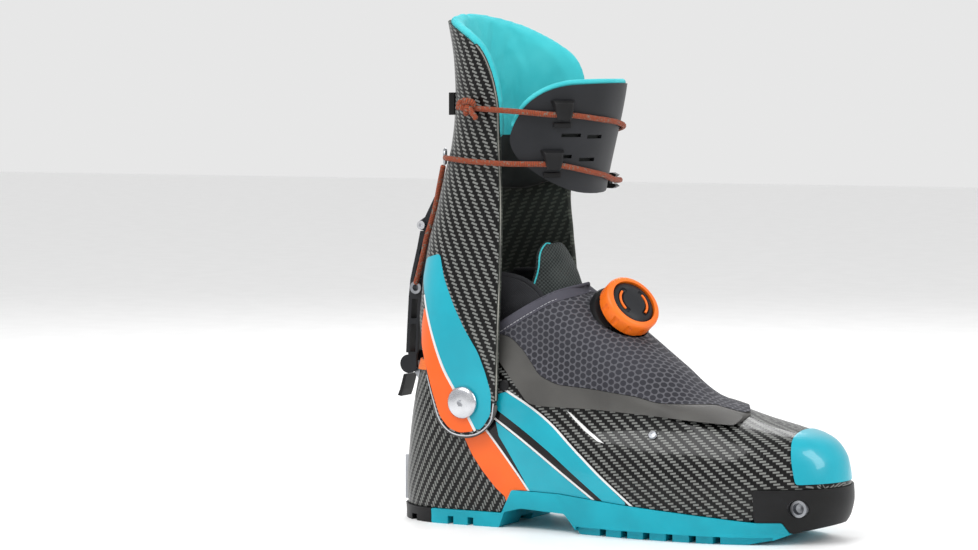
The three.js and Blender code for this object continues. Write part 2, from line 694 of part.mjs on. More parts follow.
// ---------------------------------------------------------------- cord
// Each run is a hand-placed list of [height, angle in degrees, offset from the leg surface].
const cordSpot = ([height, degrees, offset]) => legSpot(height, turnAngle(degrees), offset);
const cordOnLeg = (route) => route.map(cordSpot);
const flapFace = flapOffset + flapWall + cordRadius + gap;
const hookCord = flapOffset + flapWall + gap + 4.1;

const upperRun = [
  [261, -130, 3.6], [260, -104, 3.4], [258.3, -74, flapFace + 1.5], [256.8, -55, hookCord],
  [256.8, -47.5, hookCord], [256.8, -40, hookCord + 0.2], [253.5, -22, flapFace + 1],
  [251.5, 0, flapFace + 0.6], [249, 25, flapFace + 0.6], [246, 50, flapFace + 0.8], [242.5, 72, flapFace + 1],
];
const lowerRun = [
  [229.4, -143, 3.2], [229, -132, 3], [227.5, -105, 3], [226.6, -76, flapFace + 2], [226.3, -55, hookCord],
  [226.3, -48, hookCord], [226.3, -41, hookCord + 0.2], [221.5, -22, flapFace + 1],
  [218.5, 0, flapFace + 0.8], [216, 20, flapFace + 1],
];
const diagonalRun = [[240.5, 80, flapFace + 1.2], [230, 98, 6], [205, 127, 4], [178, 146, 5.5]];

// From the ring on the back of the cuff down past the lever mount to the lever's eye.
const rearRun = [
  legSpot(223.5, turnAngle(-162), 3), at(27.3, -16.4, 209), at(24.2, -15.5, 197), at(21.3, -15.4, 188),
  at(18, -15.2, 178.5), at(14.5, -14.2, 166), at(10.8, -13, 155), at(8.6, -12.2, 149),
];
const eyeMedial = [at(17, 22, 160), at(10, 13.6, 150), at(8.6, 12.4, 148.6)];

// ---------------------------------------------------------------- cord tensioner, inner side
const linkPivot = at(link.x, legHalf(link.z), link.z);
const linkFace = linkPivot.y + link.standoff;
const linkEnd = link.x + link.length;
const linkPin = { radius: 3, height: 5.9, headRadius: 4.6 };
const loopY = linkFace + link.plate + gap + cordRadius;

function swivelLink() {
  const { x, z } = link;
  const plate = block(x, linkEnd, linkFace, linkFace + link.plate, z - 3, z + 3);
  const eye = rod(at(x, linkFace, z), at(x, linkFace + link.plate, z), link.eyeRadius, 20);
  const hole = rod(at(x, linkFace - 1, z), at(x, linkFace + 4, z), 2.4, 16);
  const pinTop = linkPin.height + 1.2;
  const pinProfile = [
    [0, 0], [linkPin.radius, 0], [linkPin.radius, linkPin.height],
    [linkPin.headRadius, linkPin.height], [linkPin.headRadius - 1, pinTop], [0, pinTop],
  ];
  const pin = turned(pinProfile, at(linkEnd, linkFace, z), at(0, 1, 0), 16);
  return plate.add(eye).subtract(hole).add(pin);
}

function linkRivet() {
  const top = link.standoff + link.plate;
  const profile = [
    [0, 0], [3.6, 0], [3.6, 1], [2.1, 1],
    [2.1, top], [3.8, top], [2.8, top + 1.8], [0, top + 1.8],
  ];
  return turned(profile, linkPivot.clone().setY(linkPivot.y + gap), at(0, 1, 0), 16);
}

// The lower cord leaves the flap and enters the front of the pull tab.
const loopEntry = [at(125, 44.5, 214.6), at(121.5, 48.6, 214.2), at(118.4, loopY, 214)];

// The cord's last turn, round the pin of the link and back into the pull tab.
const loopRadius = linkPin.radius + gap + cordRadius;
const tabStart = linkEnd + 8;

function cordLoop() {
  const turn = Array.from({ length: 9 }, (_, i) => {
    const angle = turnAngle(90 + i / 8 * 180);
    return at(linkEnd + loopRadius * Math.cos(angle), loopY, link.z + loopRadius * Math.sin(angle));
  });
  const start = at(tabStart - 3 * gap, loopY, link.z + 2.2);
  const end = at(tabStart - 3 * gap, loopY, link.z - 2.2);
  return tube([start, ...turn, end], cordRadius, 24);
}

// Rubber sleeve that closes the loop, with two short prongs at its front.
function pullTab() {
  const { z } = link;
  const outline = [[tabStart, z - 4.4], [118, z - 5], [121, z - 3.6], [119, z - 2], [116, z - 2],
    [116, z + 2], [119, z + 2], [121, z + 3.6], [118, z + 5], [tabStart, z + 4.4]];
  return sidePrism(outline, loopY - 2.4, loopY + 2.4);
}

// ---------------------------------------------------------------- dial
const dialAt = (height) => dial.centre.clone().addScaledVector(dial.axis, height);
const dialTurned = (profile, height, sides = 24) => turned(profile, dialAt(height), dial.axis, sides);

function dialBase() {
  const seat = dialTurned([[0, 0], [19, 0], [21, 12], [20, 15], [0, 15]], -13);
  const spindleHole = dialTurned([[0, 0], [3.4, 0], [3.4, 6], [0, 6]], -2, 14);
  return seat.subtract(footSolid(2 + gap)).subtract(spindleHole);
}

// Lace drum with the splined spindle that the knob slides on.
function dialSpool() {
  return dialTurned([[0, 0], [3, 0], [3, 3.6], [11, 3.6], [8, 5], [8, 6.4], [11, 7.6], [0, 7.6]], -1.2, 18);
}

// Fixed ratchet ring under the knob.
function dialRatchet() {
  const plate = dialTurned([[0, 0], [15.4, 0], [15.4, 1.4], [0, 1.4]], 2.4);
  return plate.subtract(dialTurned([[0, 0], [12, 0], [12, 8], [0, 8]], 0, 18));
}

function dialRing() {
  const outside = [[0, 0], [18, 0], [dial.ringRadius, 1.4], [dial.ringRadius, 9], [17.6, 11], [0, 11]];
  let ring = dialTurned(outside, 4.4, 24);
  ring = ring.subtract(dialTurned([[0, 0], [15, 0], [15, 20], [0, 20]], 3));
  const side = new THREE.Vector3().crossVectors(dial.axis, at(0, 0, 1)).normalize();
  const across = new THREE.Vector3().crossVectors(dial.axis, side);
  for (let i = 0; i < 12; i++) {
    const angle = i / 12 * 2 * Math.PI;
    const out = side.clone().multiplyScalar(Math.cos(angle)).addScaledVector(across, Math.sin(angle));
    const notch = dialAt(4).addScaledVector(out, dial.ringRadius + 1.4);
    ring = ring.subtract(rod(notch, notch.clone().addScaledVector(dial.axis, 9), 2.4, 6));
  }
  return ring;
}

function dialCap() {
  return dialTurned([[0, 0], [14.7, 0], [14.7, 6.4], [13, 7.8], [6, 8.6], [0, 8.8]], 7.2);
}

// ---------------------------------------------------------------- put together
add('lower_shell', shellUnderToeCap(lowerShell()), carbon);
add('toe_cap', toeCap(), tealPaint);
add('gaiter', gaiter().subtract(rod(dialAt(-20), dialAt(20), dial.ringRadius + 0.6)), gaiterFabric);
add('gaiter_band', gaiterBand(), greyBand);
add('outsole', outsole(), tealRubber);
add('heel_rubber', heelRubber(), blackRubber);
add('toe_rubber', toeRubber(), blackRubber);
add('toe_insert', toeInsert(), steel);
add('heel_insert', heelInsert(), steel);
heelScrewHeights.forEach((z, i) => add(`heel_insert_screw_${i + 1}`, heelInsertScrew(z), steel));
add('liner_bootie', linerBootie(), linerFabric);
add('insole', insole(), greyBand);
add('tongue_tab', tongueTab(), linerFabric);
add('rim_tape', rimTape(), orangeTape);
add('rear_gusset', rearGusset(), meshFabric);
for (const [name, side] of [['lateral', -1], ['medial', 1]]) {
  add(`pivot_bolt_${name}`, pivotBolt(side), aluminium);
  add(`pivot_nut_${name}`, pivotNut(side), steel);
  add(`stop_button_${name}`, stopButton(side), blackRubber);
  add(`side_rivet_${name}`, sideRivet(side), steel);
}
add('lever_catch', leverCatch(), steel);
add('instep_lace', instepLace(), laceBraid);
add('lace_guide_lateral', laceGuide(114, -1), greyPlastic);
add('lace_guide_medial', laceGuide(102, 1), greyPlastic);
add('dial_base', dialBase(), blackRubber);
add('dial_spool', dialSpool(), greyPlastic);
add('dial_ratchet', dialRatchet(), greyPlastic);
add('dial_ring', dialRing(), orangeRubber);
add('dial_cap', dialCap(), greyPlastic);
add('cuff_shell', cuffShell(), carbon);
add('collar_liner', collarLiner(), tealFabric);
add('lever_mount', leverMount(), greyPlastic);
add('mount_rivet', mountRivet(), aluminium);
add('spine_rivet', spineRivet(), aluminium);
add('lever_arm', leverArm(), carbon);
add('lever_grip', leverGrip(), blackRubber);
add('lever_axle', leverAxleBolt(), aluminium);
add('cord_eye', cordEye(), steel);
add('rear_cord_bracket', rearCordBracket(), blackRubber);
add('cord_knot', cordKnot(), cordBraid);
add('rear_ring_guide', rearRingGuide(), steel);
add('front_flap', frontFlap(), greyPlastic);
add('flap_liner', flapLiner(), tealFabric);
add('cord_hook_upper', cordHook(256.8, -47.5), greyPlastic);
add('cord_hook_lower', cordHook(226.3, -48), greyPlastic);
add('flap_guide', flapGuide(), steel);
add('swivel_link', swivelLink(), aluminium);
add('link_rivet', linkRivet(), aluminium);
add('pull_tab', pullTab(), blackRubber);
add('cord_loop', cordLoop(), cordBraid);
add('cord_upper', tube(cordOnLeg(upperRun), cordRadius, 24), cordBraid);
add('cord_lower', tube([...cordOnLeg(lowerRun), ...loopEntry], cordRadius, 26), cordBraid);
add('cord_diagonal', tube([...cordOnLeg(diagonalRun), ...eyeMedial], cordRadius, 16), cordBraid);
add('cord_rear', tube(rearRun, cordRadius, 12), cordBraid);

const bounds = new THREE.Box3().setFromObject(group);
const middle = bounds.getCenter(new THREE.Vector3());
group.position.set(-middle.x, -middle.y, -bounds.min.z);

export default group;
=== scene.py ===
"""Looks of the alpine touring boot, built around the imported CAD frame.

Shapes are worked out in the design frame (millimetres, X from the back of the heel to the toe,
Y to the inner side, Z up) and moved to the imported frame, in metres, at the end.
"""

import math

import bmesh
import bpy
import numpy as np
from mathutils import Matrix, Vector


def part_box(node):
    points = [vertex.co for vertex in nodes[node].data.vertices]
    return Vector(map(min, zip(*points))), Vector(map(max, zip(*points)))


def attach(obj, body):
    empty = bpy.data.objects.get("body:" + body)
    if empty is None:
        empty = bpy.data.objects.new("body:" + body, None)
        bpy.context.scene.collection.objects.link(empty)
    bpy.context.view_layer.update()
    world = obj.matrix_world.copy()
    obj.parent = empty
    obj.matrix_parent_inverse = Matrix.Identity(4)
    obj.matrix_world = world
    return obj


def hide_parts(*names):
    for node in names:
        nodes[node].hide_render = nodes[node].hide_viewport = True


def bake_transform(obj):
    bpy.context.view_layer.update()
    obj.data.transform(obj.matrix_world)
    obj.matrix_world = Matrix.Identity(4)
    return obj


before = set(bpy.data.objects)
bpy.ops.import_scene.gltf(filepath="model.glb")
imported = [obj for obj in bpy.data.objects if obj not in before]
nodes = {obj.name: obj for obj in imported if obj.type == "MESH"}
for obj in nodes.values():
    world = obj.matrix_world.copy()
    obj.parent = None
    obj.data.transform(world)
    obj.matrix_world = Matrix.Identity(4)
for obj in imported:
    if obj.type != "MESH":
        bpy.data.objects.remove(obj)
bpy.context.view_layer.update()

MM = 0.001
# The heel insert's plate starts 1 mm in from the heel, 12.5 mm to each side and 11 mm up.
insert_corner = np.array(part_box("heel_insert")[0])
ORIGIN = insert_corner - np.array([1, -12.5, 11]) * MM


def frame_point(x, y, z):
    return tuple(float(v) for v in np.array([x, y, z], float) * MM + ORIGIN)


def linked(name, data):
    thing = bpy.data.objects.new(name, data)
    bpy.context.scene.collection.objects.link(thing)
    return thing


# ---------------------------------------------------------------- camera, light and floor
VIEW_AZIMUTH, VIEW_ELEVATION, VIEW_DISTANCE = 27, 3.5, 2.022
VIEW_TARGET = (73.0, -36.3, 157.1)
LIGHT_TARGET = (0, 0, 0.15)
LIGHTS = {  # azimuth, elevation, distance, width and height, power
    "key": (-20, 52, 1.5, (1.1, 0.8), 15),
    "side": (88, 30, 1.6, (0.4, 1.1), 10),
    "rim": (205, 40, 1.6, (0.9, 0.6), 9),
}


def stand(thing, azimuth, elevation, distance, target):
    """Puts a camera or a light at a distance from its target, looking at it."""
    a, e = math.radians(azimuth), math.radians(elevation)
    back = Vector((math.sin(a) * math.cos(e), -math.cos(a) * math.cos(e), math.sin(e)))
    thing.location = Vector(target) + back * distance
    thing.rotation_euler = back.to_track_quat("Z", "Y").to_euler()


def add_camera():
    data = bpy.data.cameras.new("camera")
    data.lens, data.sensor_width = 120, 36
    camera = linked("camera", data)
    stand(camera, VIEW_AZIMUTH, VIEW_ELEVATION, VIEW_DISTANCE, frame_point(*VIEW_TARGET))
    bpy.context.scene.camera = camera


def add_studio():
    scene = bpy.context.scene
    scene.view_settings.view_transform = "Standard"
    scene.world = bpy.data.worlds.new("studio")
    scene.world.use_nodes = True
    background = scene.world.node_tree.nodes["Background"]
    background.inputs["Color"].default_value = (1, 1, 1, 1)
    background.inputs["Strength"].default_value = 0.8
    for name, (azimuth, elevation, distance, size, power) in LIGHTS.items():
        data = bpy.data.lights.new(name, "AREA")
        data.shape, data.energy = "RECTANGLE", power
        data.size, data.size_y = size
        stand(linked(name, data), azimuth, elevation, distance, LIGHT_TARGET)


# ---------------------------------------------------------------- shape curves, as in the CAD
class Curve:
    """A smooth curve through [position, value] pairs that never overshoots them."""

    def __init__(self, pairs):
        self.x, self.y = np.array(pairs, float).T
        slopes = np.diff(self.y) / np.diff(self.x)
        self.tangents = np.zeros(len(self.x))
        self.tangents[0], self.tangents[-1] = slopes[0], slopes[-1]
        for i in range(1, len(self.x) - 1):
            if slopes[i - 1] * slopes[i] > 0:
                self.tangents[i] = 2 / (1 / slopes[i - 1] + 1 / slopes[i])

    def __call__(self, position):
        p = np.clip(np.asarray(position, float), self.x[0], self.x[-1])
        i = np.clip(np.searchsorted(self.x, p, "right") - 1, 0, len(self.x) - 2)
        span = self.x[i + 1] - self.x[i]
        t = (p - self.x[i]) / span
        start = (1 + 2 * t) * (1 - t) ** 2 * self.y[i]
        end = t * t * (3 - 2 * t) * self.y[i + 1]
        leave = t * (1 - t) ** 2 * span * self.tangents[i]
        arrive = t * t * (t - 1) * span * self.tangents[i + 1]
        return start + end + leave + arrive


foot_front = Curve([
    [5, 288], [14, 294], [24, 296], [36, 295], [48, 293], [57, 288], [62, 281], [66, 268],
    [71, 248], [77, 228], [82, 211], [100, 187], [121, 159], [134, 140], [150, 116.5], [160, 104],
])
foot_rear = Curve([[5, 1], [20, 0], [40, 1.5], [65, 4.5], [85, 8], [100, 11], [115, 14.5], [160, 23]])
heel_half = Curve([[5, 35], [24, 37], [50, 39.3], [75, 40.2], [88, 39.2], [112, 34.5], [160, 33]])
ball_half = Curve([[5, 47], [24, 50], [36, 50.5], [48, 48], [57, 44], [66, 38], [77, 35], [160, 33]])
toe_rounding = Curve([[5, 75], [57, 72], [70, 50], [160, 42]])
leg_rear = Curve([
    [50, 7], [90, 9], [115, 12], [150, 15.5], [179, 20.5], [197, 25.6], [213, 29.5], [237, 36],
    [254, 38.3], [270, 39], [289, 38.2], [318, 33.5],
])
leg_front = Curve([[50, 120], [150, 120], [206, 127], [275, 141.5], [318, 146]])
leg_half = Curve([[50, 46], [120, 46], [200, 45], [318, 47]])
TOE_SKEW = 4


def smooth_step(low, high, x):
    t = np.clip((x - low) / (high - low), 0, 1)
    return t * t * (3 - 2 * t)


def end_round(distance, length, power):
    t = np.clip(distance / length, 0, 1)
    return (1 - (1 - t) ** power) ** (1 / power)


class Foot:
    """Surface of the foot part: x ends and side distance at a height, with an outward offset."""

    @staticmethod
    def ends(z, offset):
        lifted = z - 0.9 * offset
        return foot_front(lifted) + 0.6 * offset, foot_rear(z) - offset

    @staticmethod
    def side(x, z, offset):
        front, rear = Foot.ends(z, offset)
        share = smooth_step(70, 190, x)
        half = heel_half(z) * (1 - share) + ball_half(z - 0.9 * offset) * share + offset
        return half * end_round(x - rear, 42, 2) * end_round(front - x, toe_rounding(z), 2)

    @staticmethod
    def skew(x):
        return TOE_SKEW * smooth_step(170, 297, x)


class Leg:
    """Surface of the cuff, in the same terms."""

    @staticmethod
    def ends(z, offset):
        return leg_front(z) + offset, leg_rear(z) - offset

    @staticmethod
    def side(x, z, offset):
        front, rear = Leg.ends(z, offset)
        return (leg_half(z) + offset) * end_round(x - rear, 41, 2.3) * end_round(front - x, 52, 2.2)

    @staticmethod
    def skew(x):
        return 0 * x


def surface_points(surface, z, angle, offset):
    """Angle 0 is the toe and 90 degrees the inner side."""
    z, angle = np.asarray(z, float), np.asarray(angle, float)
    front, rear = surface.ends(z, offset)
    x = (front + rear) / 2 + (front - rear) / 2 * np.cos(angle)
    sine = np.where(np.abs(np.sin(angle)) < 1e-9, 0, np.sign(np.sin(angle)))
    y = sine * surface.side(x, z, offset) + surface.skew(x)
    return np.stack(np.broadcast_arrays(x, y, z), -1)


def side_point(surface, x, z, side, offset):
    """Spot on one side of the surface, seen from the side; side is -1 for the outer one."""
    return np.array([x, side * float(surface.side(x, z, offset)) + float(surface.skew(x)), z])


def on_side(surface, path, side, offset):
    return [side_point(surface, x, z, side, offset) for x, z in path]


def leg_normal(z, angle):
    step = 0.02
    along = surface_points(Leg, z, angle + step, 0) - surface_points(Leg, z, angle - step, 0)
    out = np.cross(along, [0, 0, 1])
    return out / np.linalg.norm(out)


def leg_spot(z, degrees, offset):
    angle = math.radians(degrees)
    return surface_points(Leg, z, angle, 0) + leg_normal(z, angle) * offset


# ---------------------------------------------------------------- mesh tools, in millimetres
RING_ANGLES = np.arange(168) / 168 * 2 * math.pi
SIDES = (-1, "outer"), (1, "inner")
HALF_WIDTH = 70  # more than the boot reaches to either side


def mesh_object(name, vertices, faces):
    mesh = bpy.data.meshes.new(name)
    mesh.from_pydata(np.asarray(vertices, float).tolist(), [], faces)
    return linked(name, mesh)


def outward(piece):
    work = bmesh.new()
    work.from_mesh(piece.data)
    bmesh.ops.recalc_face_normals(work, faces=work.faces)
    work.to_mesh(piece.data)
    work.free()
    return piece


def loft(rings):
    count, size = len(rings), len(rings[0])
    faces = [
        (level * size + i, level * size + (i + 1) % size,
         (level + 1) * size + (i + 1) % size, (level + 1) * size + i)
        for level in range(count - 1) for i in range(size)
    ]
    faces.append(tuple(range(size))[::-1])
    faces.append(tuple((count - 1) * size + i for i in range(size)))
    return mesh_object("loft", np.concatenate(rings), faces)


def surface_solid(surface, offset, low, high, step=2.0):
    levels = np.linspace(low, high, max(2, int((high - low) / step) + 1))
    return loft([surface_points(surface, z, RING_ANGLES, offset) for z in levels])


def rounded(outline, radius):
    """The outline with each corner turned into a small curve."""
    corners = np.array(outline, float)
    result = []
    for i, corner in enumerate(corners):
        ends = []
        for other in (corners[i - 1], corners[(i + 1) % len(corners)]):
            away = other - corner
            length = np.linalg.norm(away)
            ends.append(corner + away / length * min(radius, 0.45 * length))
        for t in np.linspace(0, 1, 6):
            result.append((1 - t) ** 2 * ends[0] + 2 * t * (1 - t) * corner + t * t * ends[1])
    return np.array(result)


def prism(outline, low, high, radius=0.0):
    """Side outline (x, z) pushed across the boot from y = low to y = high."""
    points = rounded(outline, radius) if radius else np.array(outline, float)
    size = len(points)
    vertices = [(x, y, z) for y in (low, high) for x, z in points]
    faces = [(i, (i + 1) % size, size + (i + 1) % size, size + i) for i in range(size)]
    faces += [tuple(range(size)), tuple(range(size, 2 * size))[::-1]]
    return outward(mesh_object("prism", vertices, faces))


def through(outline, radius=0.0):
    """Side outline pushed right through the boot."""
    return prism(outline, -HALF_WIDTH, HALF_WIDTH, radius)


def two_sided(outer, inner, radius=0.0):
    """One side outline for the outer half and one for the inner half."""
    return join_on(prism(outer, -HALF_WIDTH, 0, radius), prism(inner, -0.01, HALF_WIDTH, radius))


def block(low, high):
    (x0, y0, z0), (x1, y1, z1) = low, high
    return prism([(x0, z0), (x1, z0), (x1, z1), (x0, z1)], y0, y1)


def oriented_block(place, direction, size):
    turn = np.array(Vector((0, 1, 0)).rotation_difference(Vector(direction)).to_matrix())
    corners = [(x, y, z) for x in (-1, 1) for y in (-1, 1) for z in (-1, 1)]
    vertices = np.array(corners) * np.array(size) / 2 @ turn.T + np.array(place)
    faces = [(0, 1, 3, 2), (4, 6, 7, 5), (0, 4, 5, 1), (2, 3, 7, 6), (0, 2, 6, 4), (1, 5, 7, 3)]
    return outward(mesh_object("block", vertices, faces))


def disc(radius, height):
    """Profile of a plain turned cylinder."""
    return [(0, 0), (radius, 0), (radius, height), (0, height)]


def lathe(profile, place, axis, sides=64):
    """Turned solid: (radius, height) pairs that start and end on the axis."""
    inner = profile[1:-1]
    angles = np.arange(sides) / sides * 2 * math.pi
    turn = np.array(Vector((0, 0, 1)).rotation_difference(Vector(axis)).to_matrix())
    rings = [
        np.stack([r * np.cos(angles), r * np.sin(angles), np.full(sides, float(h))], -1) for r, h in inner
    ]
    ends = [[(0, 0, profile[0][1])], [(0, 0, profile[-1][1])]]
    vertices = np.concatenate([np.concatenate(rings), *ends]) @ turn.T + np.array(place, float)
    faces = []
    for level in range(len(inner) - 1):
        for i in range(sides):
            a, b = level * sides + i, level * sides + (i + 1) % sides
            faces.append((a, b, b + sides, a + sides))
    bottom, top, last = len(inner) * sides, len(inner) * sides + 1, (len(inner) - 1) * sides
    for i in range(sides):
        faces.append((bottom, (i + 1) % sides, i))
        faces.append((top, last + i, last + (i + 1) % sides))
    return outward(mesh_object("lathe", vertices, faces))


def apply_modifiers(piece):
    graph = bpy.context.evaluated_depsgraph_get()
    mesh = bpy.data.meshes.new_from_object(piece.evaluated_get(graph))
    piece.modifiers.clear()
    piece.data = mesh


def combine(target, operation, tool):
    modifier = target.modifiers.new("combine", "BOOLEAN")
    modifier.operation, modifier.solver, modifier.object = operation, "MANIFOLD", tool
    apply_modifiers(target)
    if not len(target.data.vertices):
        raise RuntimeError(f"{operation} of {target.name} and {tool.name} left nothing")
    bpy.data.objects.remove(tool)
    return target


def keep_inside(target, tool):
    return combine(target, "INTERSECT", tool)


def cut(target, *tools):
    for tool in tools:
        target = combine(target, "DIFFERENCE", tool)
    return target


def join_on(target, *tools):
    for tool in tools:
        target = combine(target, "UNION", tool)
    return target


def distances(path):
    """How far along a path each of its points is."""
    return np.concatenate([[0], np.cumsum(np.linalg.norm(np.diff(path, axis=0), axis=1))])


def part_way(first, second, start, end, t):
    return (end - t) / (end - start) * first + (t - start) / (end - start) * second


def smooth_path(points, step=0.6):
    """Points along a centripetal Catmull-Rom curve, about a step apart."""
    p = [np.array(q, float) for q in points]
    p = [2 * p[0] - p[1], *p, 2 * p[-1] - p[-2]]
    result = []
    for i in range(1, len(p) - 2):
        knots = [0.0]
        for a, b in zip(p[i - 1:i + 2], p[i:i + 3]):
            knots.append(knots[-1] + max(np.linalg.norm(b - a), 1e-6) ** 0.5)
        t0, t1, t2, t3 = knots
        count = max(2, int(np.linalg.norm(p[i + 1] - p[i]) / step))
        for t in np.linspace(t1, t2, count, endpoint=False):
            a, b, c = (
                part_way(p[i - 1 + k], p[i + k], knots[k], knots[k + 1], t) for k in range(3)
            )
            low, high = part_way(a, b, t0, t2, t), part_way(b, c, t1, t3, t)
            result.append(part_way(low, high, t1, t2, t))
    result.append(p[-2])
    return np.array(result)


def tube(path, radius, sides=12, relief=None):
    """Closed tube along a path with rounded ends. Relief is a function of angle and distance."""
    path = np.array(path, float)
    along = np.gradient(path, axis=0)
    along /= np.linalg.norm(along, axis=1)[:, None]
    normal = np.cross(along[0], [0.3, 0.2, 1.0])
    distance, rings, angles = 0.0, [], np.arange(sides) / sides * 2 * math.pi
    for i, point in enumerate(path):
        normal = normal - along[i] * (normal @ along[i])
        normal /= np.linalg.norm(normal)
        across = np.cross(along[i], normal)
        if i:
            distance += np.linalg.norm(point - path[i - 1])
        swell = radius * (relief(angles, distance) if relief else np.ones(sides))
        ring = np.outer(np.cos(angles) * swell, normal)
        rings.append(point + ring + np.outer(np.sin(angles) * swell, across))
    centre = [ring.mean(0) for ring in (rings[0], rings[-1])]
    rings = [
        centre[0] + (rings[0] - centre[0]) * 0.6 - along[0] * radius * 0.5, *rings,
        centre[1] + (rings[-1] - centre[1]) * 0.6 + along[-1] * radius * 0.5,
    ]
    piece = outward(loft(rings))
    lengths = distances(path)
    lengths = np.concatenate([[0], lengths, [lengths[-1]]])
    layer = piece.data.uv_layers.new(name="UVMap")
    for polygon in piece.data.polygons:
        ids = list(polygon.vertices)
        if len(ids) != 4:
            continue
        wraps = max(v % sides for v in ids) == sides - 1 and min(v % sides for v in ids) == 0
        for loop, v in zip(polygon.loop_indices, ids):
            u = v % sides + (sides if wraps and v % sides == 0 else 0)
            layer.data[loop].uv = (u / sides, lengths[v // sides])
    return piece


def stitches(path, length=1.7, gap=0.9, radius=0.28):
    """Short rounded threads in a row along a path."""
    path = smooth_path(path, 0.25)
    lengths = distances(path)
    threads, start = [], 0.0
    while start + length < lengths[-1]:
        spots = [
            [np.interp(start + length * t, lengths, path[:, k]) for k in range(3)]
            for t in (0, 0.33, 0.67, 1)
        ]
        threads.append(tube(spots, radius, 6))
        start += length + gap
    return merged(threads)


def merged(parts):
    work = bmesh.new()
    for part in parts:
        work.from_mesh(part.data)
        bpy.data.objects.remove(part)
    mesh = bpy.data.meshes.new("merged")
    work.to_mesh(mesh)
    work.free()
    return linked("merged", mesh)


# ---------------------------------------------------------------- flattened positions on a surface
TABLE_ANGLES = np.linspace(0.001, math.pi - 0.001, 400)
FOOT_MIDDLE, LEG_MIDDLE = 60.0, 75.0  # X from which the distances round each surface are measured
ROW_STEP = 3
RISE_X = np.linspace(60, 296, 237)
RISE_STEPS = np.linspace(0, 1, 200)


def girth_rows(surface, heights, origin):
    """Distance along the surface at each height, by angle, measured from a fixed X."""
    rows = []
    for z in heights:
        front, rear = surface.ends(z, 0)
        x = (front + rear) / 2 + (front - rear) / 2 * np.cos(TABLE_ANGLES)
        y = surface.side(x, z, 0)
        run = np.concatenate([[0], np.cumsum(np.hypot(np.diff(x), np.diff(y)))])
        rows.append(run - np.interp(origin, x[::-1], run[::-1]))
    return np.array(rows)


FLAT_ROWS = {
    Foot: (5, girth_rows(Foot, np.arange(5, 161, ROW_STEP), FOOT_MIDDLE)),
    Leg: (50, girth_rows(Leg, np.arange(50, 322, ROW_STEP), LEG_MIDDLE)),
}


def between_rows(table, row, column):
    row = np.clip(row, 0, table.shape[0] - 1.001)
    column = np.clip(column, 0, table.shape[1] - 1.001)
    r, c = row.astype(int), column.astype(int)
    fr, fc = row - r, column - c
    low = table[r, c] * (1 - fc) + table[r, c + 1] * fc
    high = table[r + 1, c] * (1 - fc) + table[r + 1, c + 1] * fc
    return low * (1 - fr) + high * fr


def rise_table():
    """Distance up the side of the foot, over x and over how far up and in the point is.

    Each row holds the lowest and highest value of z minus the side distance, then the distances.
    """
    heights = np.linspace(24, 160, 273)
    spans, rows = [], []
    for x in RISE_X:
        top = np.interp(x, foot_front(heights)[::-1], heights[::-1])
        z = 5 + (top - 5) * np.sin(np.linspace(0, math.pi / 2, 300))
        y = Foot.side(x, z, 0)
        inward = z - y
        run = 5 + np.concatenate([[0], np.cumsum(np.hypot(np.diff(y), np.diff(z)))])
        spans.append((inward[0], inward[-1]))
        rows.append(np.interp(inward[0] + (inward[-1] - inward[0]) * RISE_STEPS, inward, run))
    return np.array(spans), np.array(rows)


RISE_SPANS, RISE = rise_table()


def rise(points):
    row = np.clip(points[:, 0] - FOOT_MIDDLE, 0, len(RISE_X) - 1.1)
    low, high = (np.interp(row, np.arange(len(RISE_X)), RISE_SPANS[:, k]) for k in (0, 1))
    inward = points[:, 2] - np.abs(points[:, 1] - Foot.skew(points[:, 0]))
    return between_rows(RISE, row, (inward - low) / (high - low) * (len(RISE_STEPS) - 1))


def lay_flat(piece, surface):
    """Gives a piece on a surface a UV map in millimetres that doesn't stretch."""
    mesh = piece.data
    co = np.zeros(len(mesh.vertices) * 3)
    mesh.vertices.foreach_get("co", co)
    co = co.reshape(-1, 3)
    front, rear = surface.ends(co[:, 2], 0)
    angle = np.arccos(np.clip((2 * co[:, 0] - front - rear) / (front - rear), -1, 1))
    start, table = FLAT_ROWS[surface]
    column = (angle - TABLE_ANGLES[0]) / (TABLE_ANGLES[1] - TABLE_ANGLES[0])
    u = between_rows(table, (co[:, 2] - start) / ROW_STEP, column)
    v = co[:, 2].copy()
    if surface is Foot:
        u = np.where(co[:, 0] > FOOT_MIDDLE, FOOT_MIDDLE - co[:, 0], u)
        v = np.where(co[:, 0] > FOOT_MIDDLE, rise(co), co[:, 2])
    loops = np.zeros(len(mesh.loops), int)
    mesh.loops.foreach_get("vertex_index", loops)
    sign = np.zeros(len(mesh.loops))
    for polygon in mesh.polygons:
        start = polygon.loop_start
        sign[start:start + polygon.loop_total] = -1 if polygon.center.y < 0 else 1
    layer = mesh.uv_layers.new(name="UVMap")
    layer.data.foreach_set("uv", np.stack([u[loops] * sign, v[loops]], -1).ravel())


EDGE_ANGLE = 38


def set_finish(mesh, material, angle):
    """One material, and smooth shading with sharp edges where faces meet at more than the angle."""
    mesh.materials.clear()
    mesh.materials.append(material)
    mesh.shade_smooth()
    mesh.set_sharp_from_angle(angle=math.radians(angle))


def finish_piece(piece, name, body, material, stands_for=(), surface=None, angle=EDGE_ANGLE,
                 bevel=0.0):
    """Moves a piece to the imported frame, gives it its finish and puts it on its body."""
    piece.name = name
    if surface is not None:
        lay_flat(piece, surface)
    mesh = piece.data
    mesh.name = name
    mesh.transform(Matrix.Translation(Vector(ORIGIN)) @ Matrix.Scale(MM, 4))
    set_finish(mesh, material, angle)
    if bevel:
        add_bevel(piece, bevel)
    if body is not None:
        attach(piece, body)
    if stands_for:
        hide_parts(*stands_for)
    return piece


